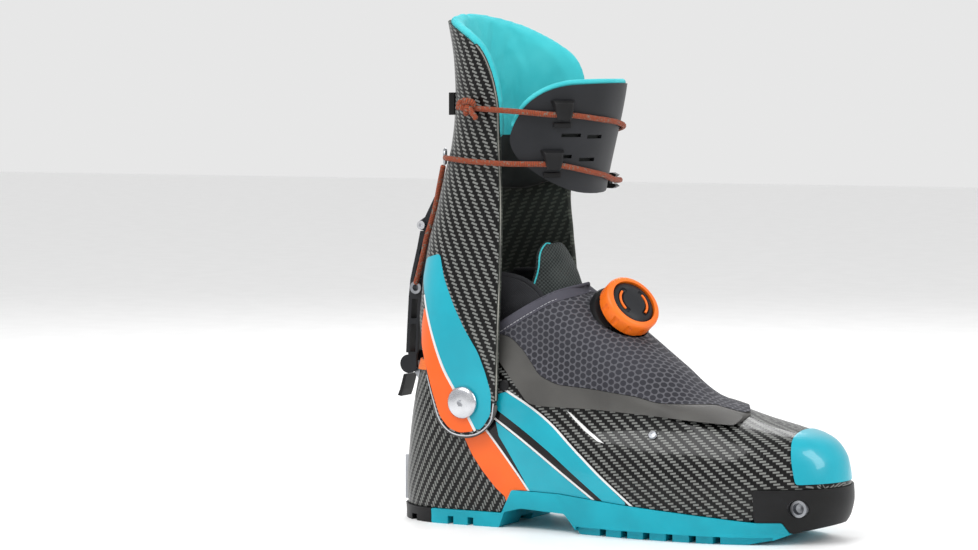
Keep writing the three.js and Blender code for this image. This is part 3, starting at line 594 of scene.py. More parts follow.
def add_bevel(piece, width):
    bevel = piece.modifiers.new("edges", "BEVEL")
    bevel.width, bevel.segments, bevel.limit_method = width * MM, 2, "ANGLE"
    bevel.angle_limit = math.radians(EDGE_ANGLE)
    bevel.harden_normals = False
    bevel.use_clamp_overlap = True


def second_material(piece, material, chosen):
    """Gives the faces that chosen(x, y, z) picks, by their centre, a material of their own."""
    piece.data.materials.append(material)
    for polygon in piece.data.polygons:
        if chosen(*((np.array(polygon.center) - ORIGIN) / MM)):
            polygon.material_index = 1


# ---------------------------------------------------------------- finishes
class Finish:
    """A material made of nodes, with short names for the nodes that it uses most."""

    def __init__(self, name):
        self.material = bpy.data.materials.new(name)
        self.material.use_nodes = True
        self.tree = self.material.node_tree
        self.shader = self.tree.nodes["Principled BSDF"]

    def set(self, **values):
        for name, value in values.items():
            self.shader.inputs[name.replace("_", " ").title().replace("Ior", "IOR")].default_value = value
        return self

    def feed(self, socket, value):
        if isinstance(value, bpy.types.NodeSocket):
            self.tree.links.new(value, socket)
        else:
            socket.default_value = value

    def node(self, kind, feeds=(), **settings):
        """Adds a node; feeds are (input, number or socket) pairs."""
        node = self.tree.nodes.new(kind)
        for name, value in settings.items():
            setattr(node, name, value)
        for name, value in dict(feeds).items():
            self.feed(node.inputs[name], value)
        return node

    def math(self, operation, *values):
        return self.node("ShaderNodeMath", enumerate(values), operation=operation).outputs[0]

    def times(self, first, second):
        return self.math("MULTIPLY", first, second)

    def plus(self, first, second):
        return self.math("ADD", first, second)

    def minus(self, first, second):
        return self.math("SUBTRACT", first, second)

    def sine(self, value, scale):
        return self.math("SINE", self.times(value, scale))

    def between(self, value, low, high):
        """0 below low, 1 above high, smooth in between."""
        feeds = {"Value": value, "From Min": low, "From Max": high}
        return self.node("ShaderNodeMapRange", feeds, interpolation_type="SMOOTHSTEP").outputs["Result"]

    def scaled(self, value, low, high):
        feeds = {"Value": value, "To Min": low, "To Max": high}
        return self.node("ShaderNodeMapRange", feeds).outputs["Result"]

    def blend(self, share, first, second):
        first, second = (v if isinstance(v, bpy.types.NodeSocket) else (*v, 1) for v in (first, second))
        return self.node("ShaderNodeMix", {"Factor": share, 6: first, 7: second}, data_type="RGBA").outputs[2]

    def place(self):
        return self.node("ShaderNodeTexCoord").outputs["Object"]

    def mapped(self, spot, setting, value):
        return self.node("ShaderNodeMapping", {setting: value, "Vector": spot}).outputs[0]

    def parts(self, spot):
        return tuple(self.node("ShaderNodeSeparateXYZ", {0: spot}).outputs)

    def flat(self, turn=0.0):
        """The piece's flattened position in millimetres, as two values."""
        spot = self.node("ShaderNodeUVMap").outputs[0]
        return self.parts(self.mapped(spot, "Rotation", (0, 0, math.radians(turn))))[:2]

    def noise(self, scale, detail=3.0, stretch=None):
        spot = self.place()
        if stretch:
            spot = self.mapped(spot, "Scale", stretch)
        feeds = {"Scale": scale, "Detail": detail, "Vector": spot}
        return self.node("ShaderNodeTexNoise", feeds).outputs[0]

    def color(self, socket):
        self.feed(self.shader.inputs["Base Color"], socket)

    def rough(self, value, low, high):
        self.feed(self.shader.inputs["Roughness"], self.scaled(value, low, high))

    def bump(self, height, distance, strength):
        feeds = {"Strength": strength, "Distance": distance * MM, "Height": height}
        self.feed(self.shader.inputs["Normal"], self.node("ShaderNodeBump", feeds).outputs[0])


def moulded(name, light, dark, rough, grain=900, depth=0.05, coat=0.0, gloss=0.5):
    """Moulded plastic, rubber or paint: fine grain, slow colour change and dull worn patches."""
    finish = Finish(name)
    slow, fine = finish.noise(28), finish.noise(grain, 4)
    finish.color(finish.blend(finish.between(slow, 0.3, 0.7), dark, light))
    finish.rough(slow, rough - 0.07, rough + 0.09)
    finish.bump(fine, depth, 0.6)
    return finish.set(coat_weight=coat, specular_ior_level=gloss).material


def twill(name, bright, dark, cell, turn, coat, rough):
    """2/2 twill: each tow passes over two and under two, shifted by one from row to row."""
    finish = Finish(name)
    x, y = finish.flat(turn)
    x, y = finish.math("DIVIDE", x, cell), finish.math("DIVIDE", y, cell)
    shift = finish.minus(finish.math("FLOOR", x), finish.math("FLOOR", y))
    over = finish.math("LESS_THAN", finish.math("FLOORED_MODULO", shift, 4.0), 1.5)

    def crown(value):
        centred = finish.minus(finish.math("FRACT", value), 0.5)
        return finish.minus(1.0, finish.times(finish.math("POWER", centred, 2.0), 4.0))

    across = finish.times(crown(x), over)
    along = finish.times(crown(y), finish.minus(1.0, over))
    height = finish.plus(across, along)
    fibre = finish.noise(1400, 2)
    slow = finish.noise(35, 2)
    # Painted highlight: the crosswise tows are lit up along their crowns in the colour, while the lengthwise
    # tows stay dark as painted shade; the real tows are all black and differ only in how they catch the
    # light.
    painted_tow_highlight = finish.times(finish.times(across, height), finish.scaled(slow, 0.35, 1.25))
    painted_tow_highlight = finish.times(painted_tow_highlight, finish.scaled(fibre, 0.7, 1.2))
    # The bright colour is the painted tow highlight, the dark one the black of the carbon.
    finish.color(finish.blend(finish.between(painted_tow_highlight, 0.03, 0.62), dark, bright))
    finish.rough(over, rough, rough + 0.12)
    finish.bump(height, 0.14, 0.7)
    return finish.set(coat_weight=coat, coat_roughness=0.08, specular_ior_level=0.1).material


THREADS = 9.0  # radians of cloth thread per millimetre


def hexagons(name, base, line, cell):
    """Woven cloth with a printed net of hexagons."""
    finish = Finish(name)
    x, y = finish.flat()
    waves, scale = [], 2 * math.pi / (cell * 0.866)
    for a in (0, math.radians(60), math.radians(120)):
        phase = finish.plus(finish.times(x, math.cos(a) * scale), finish.times(y, math.sin(a) * scale))
        waves.append(finish.math("COSINE", phase))
    total = finish.plus(finish.plus(waves[0], waves[1]), waves[2])
    net = finish.minus(1.0, finish.between(total, -0.98, -0.6))
    weave = finish.times(finish.sine(x, THREADS), finish.sine(y, THREADS))
    slow = finish.noise(30)
    shade = finish.blend(finish.between(slow, 0.3, 0.7), tuple(c * 0.75 for c in base), base)
    finish.color(finish.blend(net, shade, line))
    finish.rough(net, 0.82, 0.7)
    finish.bump(finish.plus(finish.times(weave, 0.25), net), 0.12, 0.6)
    return finish.set(sheen_weight=0.05, specular_ior_level=0.15).material


LINING = (0.008, 0.009, 0.009), (0.035, 0.038, 0.036)


def knit(name, base, light, cell, sheen=0.25, depth=0.25, split=None):
    """Knitted or napped cloth: rows of small loops with slow shading. Below the split it is dark lining."""
    finish = Finish(name)
    x, y, z = finish.parts(finish.place())
    scale = 2 * math.pi / (cell * MM)
    level = finish.sine(z, scale)
    wander = finish.sine(finish.plus(x, y), scale * 0.8)
    loops = finish.times(level, wander)
    fluff, slow = finish.noise(2600, 3), finish.noise(40, 3)
    # Painted shade: the colour darkens in the hollows between the knit loops, following the same loops as the
    # bump, on top of a slow random tone.
    loop_shade_and_tone = finish.plus(finish.times(loops, 0.35), slow)
    shade = finish.blend(finish.between(loop_shade_and_tone, 0.1, 0.95), base, light)
    if split is not None:
        above = finish.between(z, (split - 0.4) * MM, (split + 0.4) * MM)
        lining = finish.blend(finish.between(loop_shade_and_tone, 0.1, 0.95), *LINING)
        shade = finish.blend(above, lining, shade)
    finish.color(shade)
    finish.rough(fluff, 0.75, 0.95)
    finish.bump(finish.plus(finish.times(loops, 0.6), fluff), depth, 0.6)
    return finish.set(sheen_weight=sheen, specular_ior_level=0.2).material


def metal(name, bright, dark, rough, stretch=(1, 1, 12)):
    finish = Finish(name)
    brushed, slow = finish.noise(700, 4, stretch), finish.noise(60, 2)
    finish.color(finish.blend(finish.between(slow, 0.3, 0.75), dark, bright))
    finish.rough(brushed, rough, rough + 0.22)
    finish.bump(brushed, 0.02, 0.5)
    return finish.set(metallic=1.0).material


BRAID_PITCH = 2.1


def braided(name, base, second, fleck):
    """Cord sleeve: strands that cross at a slant, with flecks of a second yarn."""
    finish = Finish(name)
    x, y = finish.flat()
    turn = finish.times(x, 12 * 2 * math.pi)
    run = finish.times(y, 2 * math.pi / BRAID_PITCH)
    left = finish.math("SINE", finish.plus(turn, run))
    right = finish.math("SINE", finish.minus(turn, run))
    weave = finish.times(left, right)
    spots = finish.noise(620, 2)
    # Painted shade: the second colour goes where the strands dip, in the hollows between them, following the
    # same weave as the bump.
    shade = finish.blend(finish.between(weave, -0.6, 0.6), second, base)
    finish.color(finish.blend(finish.between(spots, 0.56, 0.66), shade, fleck))
    finish.rough(weave, 0.7, 0.88)
    finish.bump(weave, 0.2, 0.8)
    return finish.set(sheen_weight=0.04, specular_ior_level=0.25).material


# Painted highlight colour of the crosswise tows, then the black of the carbon.
TOW_HIGHLIGHT_AND_BLACK = (0.19, 0.195, 0.185), (0.002, 0.002, 0.002)
CARBON = twill("carbon", *TOW_HIGHLIGHT_AND_BLACK, 2.0, 110, 0.3, 0.34)
CARBON_HEEL = twill("carbon_heel", *TOW_HIGHLIGHT_AND_BLACK, 1.75, -13, 0.3, 0.34)
CARBON_TOE = twill("carbon_toe", *TOW_HIGHLIGHT_AND_BLACK, 1.8, 83, 0.3, 0.34)
# The inside carbon's lighter crosswise tows are painted highlight as well.
CARBON_MATT = twill("carbon_inside", (0.075, 0.082, 0.07), (0.03, 0.034, 0.03), 2.2, 110, 0.0, 0.6)
TEAL_PAINT = moulded("teal_paint", (0.0, 0.35, 0.45), (0.0, 0.30, 0.39), 0.3, 500, 0.01, coat=0.35, gloss=0.3)
TEAL_RUBBER = moulded("teal_rubber", (0.0, 0.36, 0.46), (0.0, 0.28, 0.36), 0.5, 700, 0.04, coat=0.1,
                      gloss=0.3)
ORANGE_PAINT = moulded("orange_paint", (0.86, 0.12, 0.002), (0.78, 0.10, 0.002), 0.3, 500, 0.01, coat=0.35,
                       gloss=0.3)
ORANGE_RUBBER = moulded("orange_rubber", (0.86, 0.17, 0.006), (0.76, 0.13, 0.005), 0.45, 800, 0.05, gloss=0.4)
WHITE_PAINT = moulded("white_paint", (0.74, 0.74, 0.73), (0.62, 0.63, 0.63), 0.3, 500, 0.01, coat=0.4)
BLACK_PAINT = moulded("black_paint", (0.006, 0.006, 0.007), (0.003, 0.003, 0.003), 0.25, 500, 0.01,
                      coat=0.3, gloss=0.2)
BLACK_RUBBER = moulded("black_rubber", (0.012, 0.012, 0.013), (0.005, 0.005, 0.005), 0.42, 900, 0.06,
                       gloss=0.2)
GREY_PLASTIC = moulded("grey_plastic", (0.018, 0.019, 0.022), (0.012, 0.013, 0.015), 0.4, 1100, 0.05,
                       gloss=0.2)
GREY_BAND = moulded("grey_band", (0.085, 0.083, 0.078), (0.06, 0.058, 0.055), 0.55, 1300, 0.04, gloss=0.25)
GREY_HEM = moulded("grey_hem", (0.075, 0.073, 0.09), (0.05, 0.049, 0.062), 0.8, 1500, 0.12, gloss=0.15)
GAITER = hexagons("gaiter_fabric", (0.036, 0.036, 0.044), (0.092, 0.092, 0.104), 4.3)
MESH = hexagons("mesh_fabric", (0.006, 0.006, 0.006), (0.022, 0.022, 0.024), 1.6)
TEAL_YARN = (0.02, 0.40, 0.45), (0.08, 0.58, 0.62), 0.8, 0.1
TEAL_FABRIC = knit("teal_fabric", *TEAL_YARN)
COLLAR_FABRIC = knit("collar_fabric", *TEAL_YARN, split=243)
SHIN_FABRIC = knit("shin_fabric", *TEAL_YARN, split=262)
LINER = knit("liner_fabric", (0.007, 0.007, 0.008), (0.03, 0.031, 0.035), 1.1, sheen=0.06)
KNIT = knit("tongue_knit", (0.009, 0.012, 0.012), (0.055, 0.064, 0.062), 2.4, depth=0.7, sheen=0.06)
ORANGE_TAPE = knit("orange_tape", (0.62, 0.09, 0.008), (0.85, 0.19, 0.02), 0.7, sheen=0.1)
ALUMINIUM = metal("aluminium", (0.66, 0.67, 0.69), (0.46, 0.47, 0.5), 0.14)
STEEL = metal("steel", (0.42, 0.43, 0.45), (0.28, 0.29, 0.31), 0.25)
# Each braid's second colour is painted shade between the strands; the third is the fleck yarn.
CORD = braided("cord_braid", (0.42, 0.075, 0.022), (0.09, 0.03, 0.02), (0.17, 0.15, 0.12))
LACE = braided("lace_braid", (0.16, 0.16, 0.17), (0.05, 0.05, 0.06), (0.3, 0.3, 0.3))
THREAD = moulded("thread", (0.34, 0.34, 0.36), (0.22, 0.22, 0.24), 0.7)
FRAYED = moulded("frayed_edge", (0.30, 0.29, 0.26), (0.06, 0.06, 0.055), 0.7, 300, 0.3)

add_camera()
add_studio()


# ---------------------------------------------------------------- cords
CORD_RADIUS = 1.75
FLAP_FACE = 0.6 + 2.4 + CORD_RADIUS + 0.3
HOOK_CORD = 0.6 + 2.4 + 0.3 + 4.1


def strand_relief(angles, distance):
    wave = 2 * math.pi * distance / BRAID_PITCH
    return 1 + 0.05 * np.sin(6 * angles + wave) * np.sin(6 * angles - wave)


def braid(points):
    return tube(smooth_path(points, 0.55), CORD_RADIUS * 0.97, 22, strand_relief)


def cord_piece(piece, name, stands_for=(), body=None):
    return finish_piece(piece, name, body, CORD, stands_for)


def blended_cord(points, name, stands_for):
    piece = cord_piece(braid(points), name, stands_for)
    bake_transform(piece)


def leg_route(route):
    return [leg_spot(*spot) for spot in route]


LINK = {"x": 77, "z": 214, "length": 17, "plate": 1.8, "standoff": 1.6}
LINK_FACE = float(leg_half(LINK["z"])) + LINK["standoff"]
LINK_END = LINK["x"] + LINK["length"]
LOOP_Y = LINK_FACE + LINK["plate"] + 0.3 + CORD_RADIUS

UPPER_RUN = [
    [261, -130, 3.6], [260, -104, 3.4], [258.3, -74, FLAP_FACE + 1.5], [256.8, -55, HOOK_CORD],
    [256.8, -47.5, HOOK_CORD], [256.2, -40, HOOK_CORD + 0.2], [254.2, -22, FLAP_FACE + 1.2],
    [252, 0, FLAP_FACE + 0.6], [249, 25, FLAP_FACE + 0.6], [246, 50, FLAP_FACE + 0.8],
    [242.5, 72, FLAP_FACE + 1],
]
LOWER_RUN = [
    [229.4, -143, 3.2], [229, -132, 3], [227.5, -105, 3], [226.6, -76, FLAP_FACE + 2],
    [226.5, -55, HOOK_CORD], [226.2, -48, HOOK_CORD], [225.4, -41, HOOK_CORD + 0.2],
    [222.2, -22, FLAP_FACE + 1.2], [218.9, 0, FLAP_FACE + 0.8], [216, 20, FLAP_FACE + 1],
]
LOOP_ENTRY = [(125, 44.5, 214.6), (121.5, 48.6, 214.2), (118.4, LOOP_Y, 214)]
DIAGONAL_RUN = [[240.5, 80, FLAP_FACE + 1.2], [230, 98, 6], [205, 127, 4], [178, 146, 5.5]]
EYE_MEDIAL = [(17, 22, 160), (10, 13.6, 150), (8.6, 12.4, 148.6)]
REAR_RUN = [
    leg_spot(223.5, -162, 3), (27.3, -16.4, 209), (24.2, -15.5, 197), (21.3, -15.4, 188),
    (18, -15.2, 178.5), (14.5, -14.2, 166), (10.8, -13, 155), (8.6, -12.2, 149),
]


def add_cords():
    upper, lower, diagonal = (leg_route(run) for run in (UPPER_RUN, LOWER_RUN, DIAGONAL_RUN))
    blended_cord(upper, "upper_cord", ["cord_upper"])
    blended_cord(lower, "lower_cord", ["cord_lower"])
    blended_cord([*lower[-2:], *LOOP_ENTRY], "lower_cord_end", ())
    blended_cord(diagonal[:3], "diagonal_cord", ["cord_diagonal"])
    blended_cord([*diagonal[2:], *EYE_MEDIAL], "diagonal_cord_end", ())
    blended_cord(REAR_RUN, "rear_cord", ["cord_rear"])
    radius = 3 + 0.3 + CORD_RADIUS
    turn = [
        (LINK_END + radius * math.cos(a), LOOP_Y, LINK["z"] + radius * math.sin(a))
        for a in np.radians(np.linspace(90, 270, 9))
    ]
    ends = [(LINK_END + 7.1, LOOP_Y, LINK["z"] + side * 2.2) for side in (1, -1)]
    cord_piece(braid([ends[0], *turn, ends[1]]), "tensioner_loop", ["cord_loop"], "tensioner_link")


def add_knot():
    """The knot that stops the upper cord at its bracket: a cord wound three times through itself."""
    place = leg_spot(262, -118, 5.4)
    out = leg_normal(262, math.radians(-118))
    up = np.array([0, 0, 1.0])
    across = np.cross(up, out)
    points = []
    for t in np.linspace(0, 2 * math.pi, 60):
        a, b = math.sin(t) + 2 * math.sin(2 * t), math.cos(t) - 2 * math.cos(2 * t)
        points.append(place + 1.75 * (a * across + 0.85 * b * up) - 1.7 * math.sin(3 * t) * out)
    knot = tube(np.array(points), 1.95, 20, strand_relief)
    cord_piece(knot, "stopper_knot", ["cord_knot"], "cuff")
    tail = [place + 2 * across, place - 4 * up + 5.5 * across + out, place - 7.5 * up + 9 * across + out]
    cord_piece(braid(tail), "stopper_tail", body="cuff")


# ---------------------------------------------------------------- lower boot
SHELL_PROFILE = [
    (-5, 9.5), (82, 9.5), (90, 24.5), (124, 24.5), (230, 16.5), (253, 14.3), (253, 34.3), (300, 34.3),
    (300, 70), (232, 84), (214, 87), (172, 92), (130, 95), (110, 104), (97, 121), (84, 124),
    (73, 121), (50, 111), (30, 103), (-5, 101),
]
TOE_CAP = [(275.5, 37), (305, 37), (305, 75), (267, 75), (268.5, 66)]
BAND_TOP = [
    (216, 81), (186, 82), (173, 85.5), (146, 89), (121, 91), (109, 96), (97, 111), (88, 119), (77, 121.5),
]
BAND_BOTTOM = [(77, 108), (91, 92.6), (102, 79), (110, 77.5), (146, 77), (187, 74.5), (232, 71)]
PIVOT = (60, 78)
PIVOT_HOLE = 4.3
HINGE_RADIUS = 21  # of the cuff's rounded lower end, about the pivot


def cross_rod(x, z, radius, half=60, sides=48):
    return lathe(disc(radius, 2 * half), (x, -half, z), (0, 1, 0), sides)


def skin(surface, outer, inner, low, high):
    return cut(surface_solid(surface, outer, low, high), surface_solid(surface, inner, low - 1, high + 1))


def foot_panel(outline, radius, outer, inner, low, high):
    """The part of a skin over the foot that lies inside a side outline."""
    return keep_inside(skin(Foot, outer, inner, low, high), through(outline, radius))


# The carbon cloth changes its direction along a slanting line, under the upper teal stripe.
LAY_SEAM = (82, 80), (160, 24)


def score(piece, start, end):
    """Adds edges to the mesh where a plane across the boot passes through it."""
    work = bmesh.new()
    work.from_mesh(piece.data)
    normal = (start[1] - end[1], 0, end[0] - start[0])
    parts = [*work.verts, *work.edges, *work.faces]
    bmesh.ops.bisect_plane(work, geom=parts, plane_co=(start[0], 0, start[1]), plane_no=normal)
    work.to_mesh(piece.data)
    work.free()


def add_lower_shell():
    shell = keep_inside(surface_solid(Foot, 0, 9, 157), through(SHELL_PROFILE, 5))
    shell = cut(shell, surface_solid(Foot, -3, 28, 160))
    boss = keep_inside(surface_solid(Foot, -1, 9, 60), block((0, -15, 20), (10, 15, 43)))
    shell = join_on(shell, boss)
    shell = cut(shell, block((-5, -13, 10), (4.3, 13, 40)), cross_rod(*PIVOT, PIVOT_HOLE))
    bed = cut(surface_solid(Foot, 1.6, 20, 90), surface_solid(Foot, -1.3, 19, 91))
    grown = [(x + 1 if x > 300 else x - 0.3, z - 0.3 if z < 40 else z + 1) for x, z in TOE_CAP]
    shell = cut(shell, keep_inside(bed, prism(grown, -HALF_WIDTH - 1, HALF_WIDTH + 1, 2)))
    score(shell, *LAY_SEAM)
    shell = finish_piece(shell, "shell", "lower_boot", CARBON_HEEL, ["lower_shell"], Foot)
    (x0, z0), (x1, z1) = LAY_SEAM
    second_material(
        shell, CARBON_TOE, lambda x, y, z: (x - x0) * (z1 - z0) - (z - z0) * (x1 - x0) < 0)
    cap = foot_panel(TOE_CAP, 2, 1, -1, 20, 90)
    finish_piece(cap, "toe_guard", "lower_boot", TEAL_PAINT, ["toe_cap"], Foot)


def line_band(path, width):
    """Outline of a painted line of even width along a side-view path."""
    path = np.array(path, float)
    along = np.gradient(path, axis=0)
    across = np.stack([-along[:, 1], along[:, 0]], -1) / np.linalg.norm(along, axis=1)[:, None]
    return np.concatenate([path + across * width / 2, (path - across * width / 2)[::-1]])


def flat_path(path, step=2.0):
    return smooth_path([(x, 0, z) for x, z in path], step)[:, [0, 2]]


SHELL_PAINT = {
    "stripe_ground": (BLACK_PAINT, 0.16, [
        (57, 62), (75, 82), (88, 85.5), (101, 79), (114, 70), (133, 54.6), (152, 39.6), (174, 22),
        (174, 10), (84, 8), (84.5, 19.7), (70, 36)], 0.6),
    "stripe_orange": (ORANGE_PAINT, 0.26, [
        (57, 62), (71, 62), (73, 59.6), (87.4, 42.2), (100.7, 25), (107, 14), (88, 8), (84.5, 19.7),
        (78, 25), (69.5, 35), (62.6, 45), (57.3, 56)], 0.6),
    "stripe_teal_low": (TEAL_PAINT, 0.26, [
        (79.6, 66.6), (114.4, 44.2), (149.4, 21.4), (150, 12), (108, 12), (98.4, 32), (88.4, 47.6),
        (81.6, 57.6)], 0.6),
    "stripe_teal_high": (TEAL_PAINT, 0.26, [
        (79, 83), (86, 85.2), (101, 77.4), (114, 68.6), (132.7, 53.4), (152, 38.4), (172, 22.4),
        (172, 12), (163, 12), (155.4, 22.7), (118, 49.2), (80.8, 73.7), (79, 75.5)], 0.6),
}
SHELL_LINES = {
    "line_orange": ([(71.6, 62.2), (73.6, 60), (88, 42.6), (101.4, 25.4), (109, 14)], 1.3),
    "line_low": ([(76, 70.2), (79.5, 68), (114.4, 45.2), (150.8, 21.6), (160, 15.4)], 1.3),
    "line_high": ([
        (85.6, 86.5), (89.5, 84.3), (101, 78), (114, 69.2), (132.7, 54), (152, 39), (173, 23),
        (180, 17.5)], 1.3),
}
STREAK = [
    (127.4, 75.4), (130, 74), (136, 69.2), (143.6, 63.7), (155, 57), (150.6, 57.9), (140, 63.8),
    (132.4, 70.2),
]
CUFF_PAINT = {
    "cuff_teal": (TEAL_PAINT, [
        (27, 166.4), (42, 170), (45.7, 155.6), (53.5, 137.5), (60.6, 124), (70.3, 109.2), (75.3, 96.7),
        (79, 84), (78.6, 71), (73, 62.5), (69, 61), (65, 68), (54.7, 85.5), (47, 98.5), (39.5, 114),
        (31.6, 134), (26.6, 147), (23.2, 154)], 3),
    "cuff_orange": (ORANGE_PAINT, [
        (28.4, 136), (26, 125), (26.5, 113), (32.6, 97.7), (38, 83), (43.6, 68.6), (50, 61.6), (57.5, 59),
        (67.5, 60.4), (63.4, 67.4), (53.2, 84.8), (45.4, 97.6), (38, 113.5), (30.3, 133)], 2.5),
}
CUFF_LINE = [(27.6, 143.5), (31, 134), (39, 113.8), (46.2, 98), (54, 85.2), (64.2, 67.7), (68.3, 60.6)]
CUFF_RIM = [(33, 94), (38, 80), (43.6, 66), (50.6, 59.4), (60, 57.3), (70.4, 59.4), (78.4, 66.6), (80.6, 78)]


def paint_patch(name, surface, outline, top, material, body, radius, clip=None):
    low, high = (9, 100) if surface is Foot else (50, 175)
    patch = skin(surface, top, -0.4, low, high)
    patch = keep_inside(patch, prism(outline, -HALF_WIDTH, -1, radius))
    if clip is not None:
        patch = keep_inside(patch, prism(clip, -HALF_WIDTH - 1, HALF_WIDTH + 1, 5))
    finish_piece(patch, name, body, material, surface=surface)


def paint_line(name, surface, path, width, top, material, body, clip=None):
    paint_patch(name, surface, line_band(flat_path(path), width), top, material, body, 0, clip)


def add_paint():
    """Only the outer side is painted; the inner side is bare carbon."""
    for name, (material, top, outline, radius) in SHELL_PAINT.items():
        paint_patch(name, Foot, outline, top, material, "lower_boot", radius, SHELL_PROFILE)
    for name, (path, width) in SHELL_LINES.items():
        paint_line(name, Foot, path, width, 0.34, WHITE_PAINT, "lower_boot", SHELL_PROFILE)
    paint_patch("streak", Foot, STREAK, 0.2, WHITE_PAINT, "lower_boot", 0)
    for name, (material, outline, radius) in CUFF_PAINT.items():
        paint_patch(name, Leg, outline, 0.22, material, "cuff", radius)
    paint_line("cuff_line", Leg, CUFF_LINE, 1.7, 0.3, WHITE_PAINT, "cuff")
    paint_line("cuff_rim", Leg, CUFF_RIM, 0.8, 0.28, ALUMINIUM, "cuff")


GAITER_HEM = [(75, 124), (88, 132), (100, 139), (112, 146.4), (124, 151.2)]


DIAL_CENTRE = (148, -3.5, 132.5)
DIAL_AXIS = np.array([0.73, -0.34, 0.59]) / np.linalg.norm([0.73, -0.34, 0.59])
DIAL_RADIUS = 19


def dial_spot(height):
    return np.array(DIAL_CENTRE) + DIAL_AXIS * height


def dial_turned(profile, height, sides=72):
    return lathe(profile, dial_spot(height), DIAL_AXIS, sides)


def dial_hole():
    """Space for the dial's seat in the cloth round it."""
    return dial_turned(disc(DIAL_RADIUS + 0.6, 40), -20)


def beyond_front_edge():
    """Space in front of the gaiter, whose front edge runs back towards the inner side."""
    direction = np.array([0.908, 0.418, 0])
    return oriented_block(np.array([239, -12, 90]) + direction * 100, direction, (200, 200, 200))


def add_gaiter():
    outline = [(x, z + 0.3) for x, z in BAND_TOP] + [
        (75, 124), (88, 132), (100, 139), (112, 147), (126, 152), (150, 152), (240, 90), (236, 76)]
    gaiter = foot_panel(outline, 4, 2, 0.3, 60, 156)
    gaiter = cut(gaiter, dial_hole(), beyond_front_edge())
    gaiter = finish_piece(gaiter, "gaiter_cloth", "lower_boot", GAITER, ["gaiter"], Foot)
    outline = [*BAND_TOP, *BAND_BOTTOM, (236, 71), (236, 75.7)]
    band = foot_panel(outline, 4, 2.2, 0.3, 60, 130)
    band = cut(band, beyond_front_edge())
    finish_piece(band, "gaiter_edge", "lower_boot", GREY_BAND, ["gaiter_band"], Foot)
    for side, name in SIDES:
        hem = on_side(Foot, GAITER_HEM, side, 1.1)
        hem = tube(smooth_path(hem, 0.8), 1.15, 14)
        finish_piece(hem, f"gaiter_hem_{name}", "lower_boot", GREY_HEM)
        low = [(x + 2.4, z - 5.6) for x, z in GAITER_HEM[::-1]]
        strip = foot_panel([*GAITER_HEM, (128, 151), *low], 1, 2.25, 1.6, 60, 156)
        near, far = sorted((0, HALF_WIDTH * side))
        strip = cut(keep_inside(strip, block((60, near, 100), (200, far, 160))), dial_hole())
        finish_piece(strip, f"gaiter_strip_{name}", "lower_boot", GREY_HEM)
        seam = [side_point(Foot, x + 1.6, z - 4.4, side, 2.3) for x, z in GAITER_HEM]
        finish_piece(stitches(seam), f"gaiter_stitches_{name}", "lower_boot", THREAD)


def add_rim_and_gusset():
    outline = [(-5, 94), (30, 96), (49, 104), (47, 109), (30, 102), (-5, 100.5)]
    tape = foot_panel(outline, 2, 1.3, 0.3, 85, 120)
    finish_piece(tape, "edge_tape", "lower_boot", ORANGE_TAPE, ["rim_tape"], Foot)
    outline = [(-5, 101.4), (28, 103.4), (48, 111.8), (54, 128), (20, 134), (-5, 134)]
    gusset = foot_panel(outline, 3, -1.0, -2.6, 101, 135)
    gusset = finish_piece(gusset, "heel_gusset", None, MESH, ["rear_gusset"], Foot)
    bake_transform(gusset)


TOE_BAR = (277, 22.6)  # x and z of the fitting's bar through the toe


def sole_rubber(low, high, levels):
    return loft([surface_points(Foot, z, RING_ANGLES, 1.5) for z in np.linspace(low, high, levels)])


def add_soles():
    body = sole_rubber(-1, 26, 14)
    outline = [
        (32, 0), (80, 0), (84, 10), (96, 13), (128, 12), (138, 0), (246, 0), (262, 3), (271, 6.5),
        (268, 14), (253, 14), (230, 16.2), (124, 24.2), (90, 24.2), (82, 9.2), (32, 9.2),
    ]
    sole = keep_inside(body, through(outline, 1.2))
    inset = skin(Foot, 6, -1.6, -1, 20)
    sole = cut(sole, keep_inside(inset, block((136, -HALF_WIDTH, -2), (262, HALF_WIDTH, 4.8))))
    grooves = [(x, 4, 5) for x in (44, 58)] + [(x, 4.5, 4.8) for x in range(152, 240, 15)]
    for x, wide, deep in grooves:
        sole = cut(sole, block((x, -60, -2), (x + wide, 60, deep)))
    sole = cut(sole, block((30, -9, -2), (82, 9, 4)), block((140, -4, -2), (250, 4, 3)))
    finish_piece(sole, "sole", "lower_boot", TEAL_RUBBER, ["outsole"], Foot, bevel=0.5)
    pad = keep_inside(sole_rubber(-1, 10, 8), block((-4, -50, 0), (31.7, 50, 9.2)))
    pad = cut(pad, block((14, -60, -2), (19, 60, 4)))
    finish_piece(pad, "heel_pad", "lower_boot", BLACK_RUBBER, ["heel_rubber"], Foot,
                 bevel=0.5)
    outline = [(253.4, 14.4), (268.4, 14.4), (271.4, 6.8), (300, 13), (300, 34), (253.4, 34)]
    bumper = keep_inside(surface_solid(Foot, 2, 3, 34), through(outline, 1.5))
    bumper = cut(bumper, cross_rod(*TOE_BAR, 5.5, sides=64), surface_solid(Foot, -3, 28, 55))
    finish_piece(bumper, "toe_bumper", "lower_boot", BLACK_RUBBER, ["toe_rubber"], Foot,
                 bevel=0.5)


BOOTIE_TOP = [(60, 156), (76, 156.5), (88, 153.5), (97, 147.5), (104, 140.5), (112, 135)]


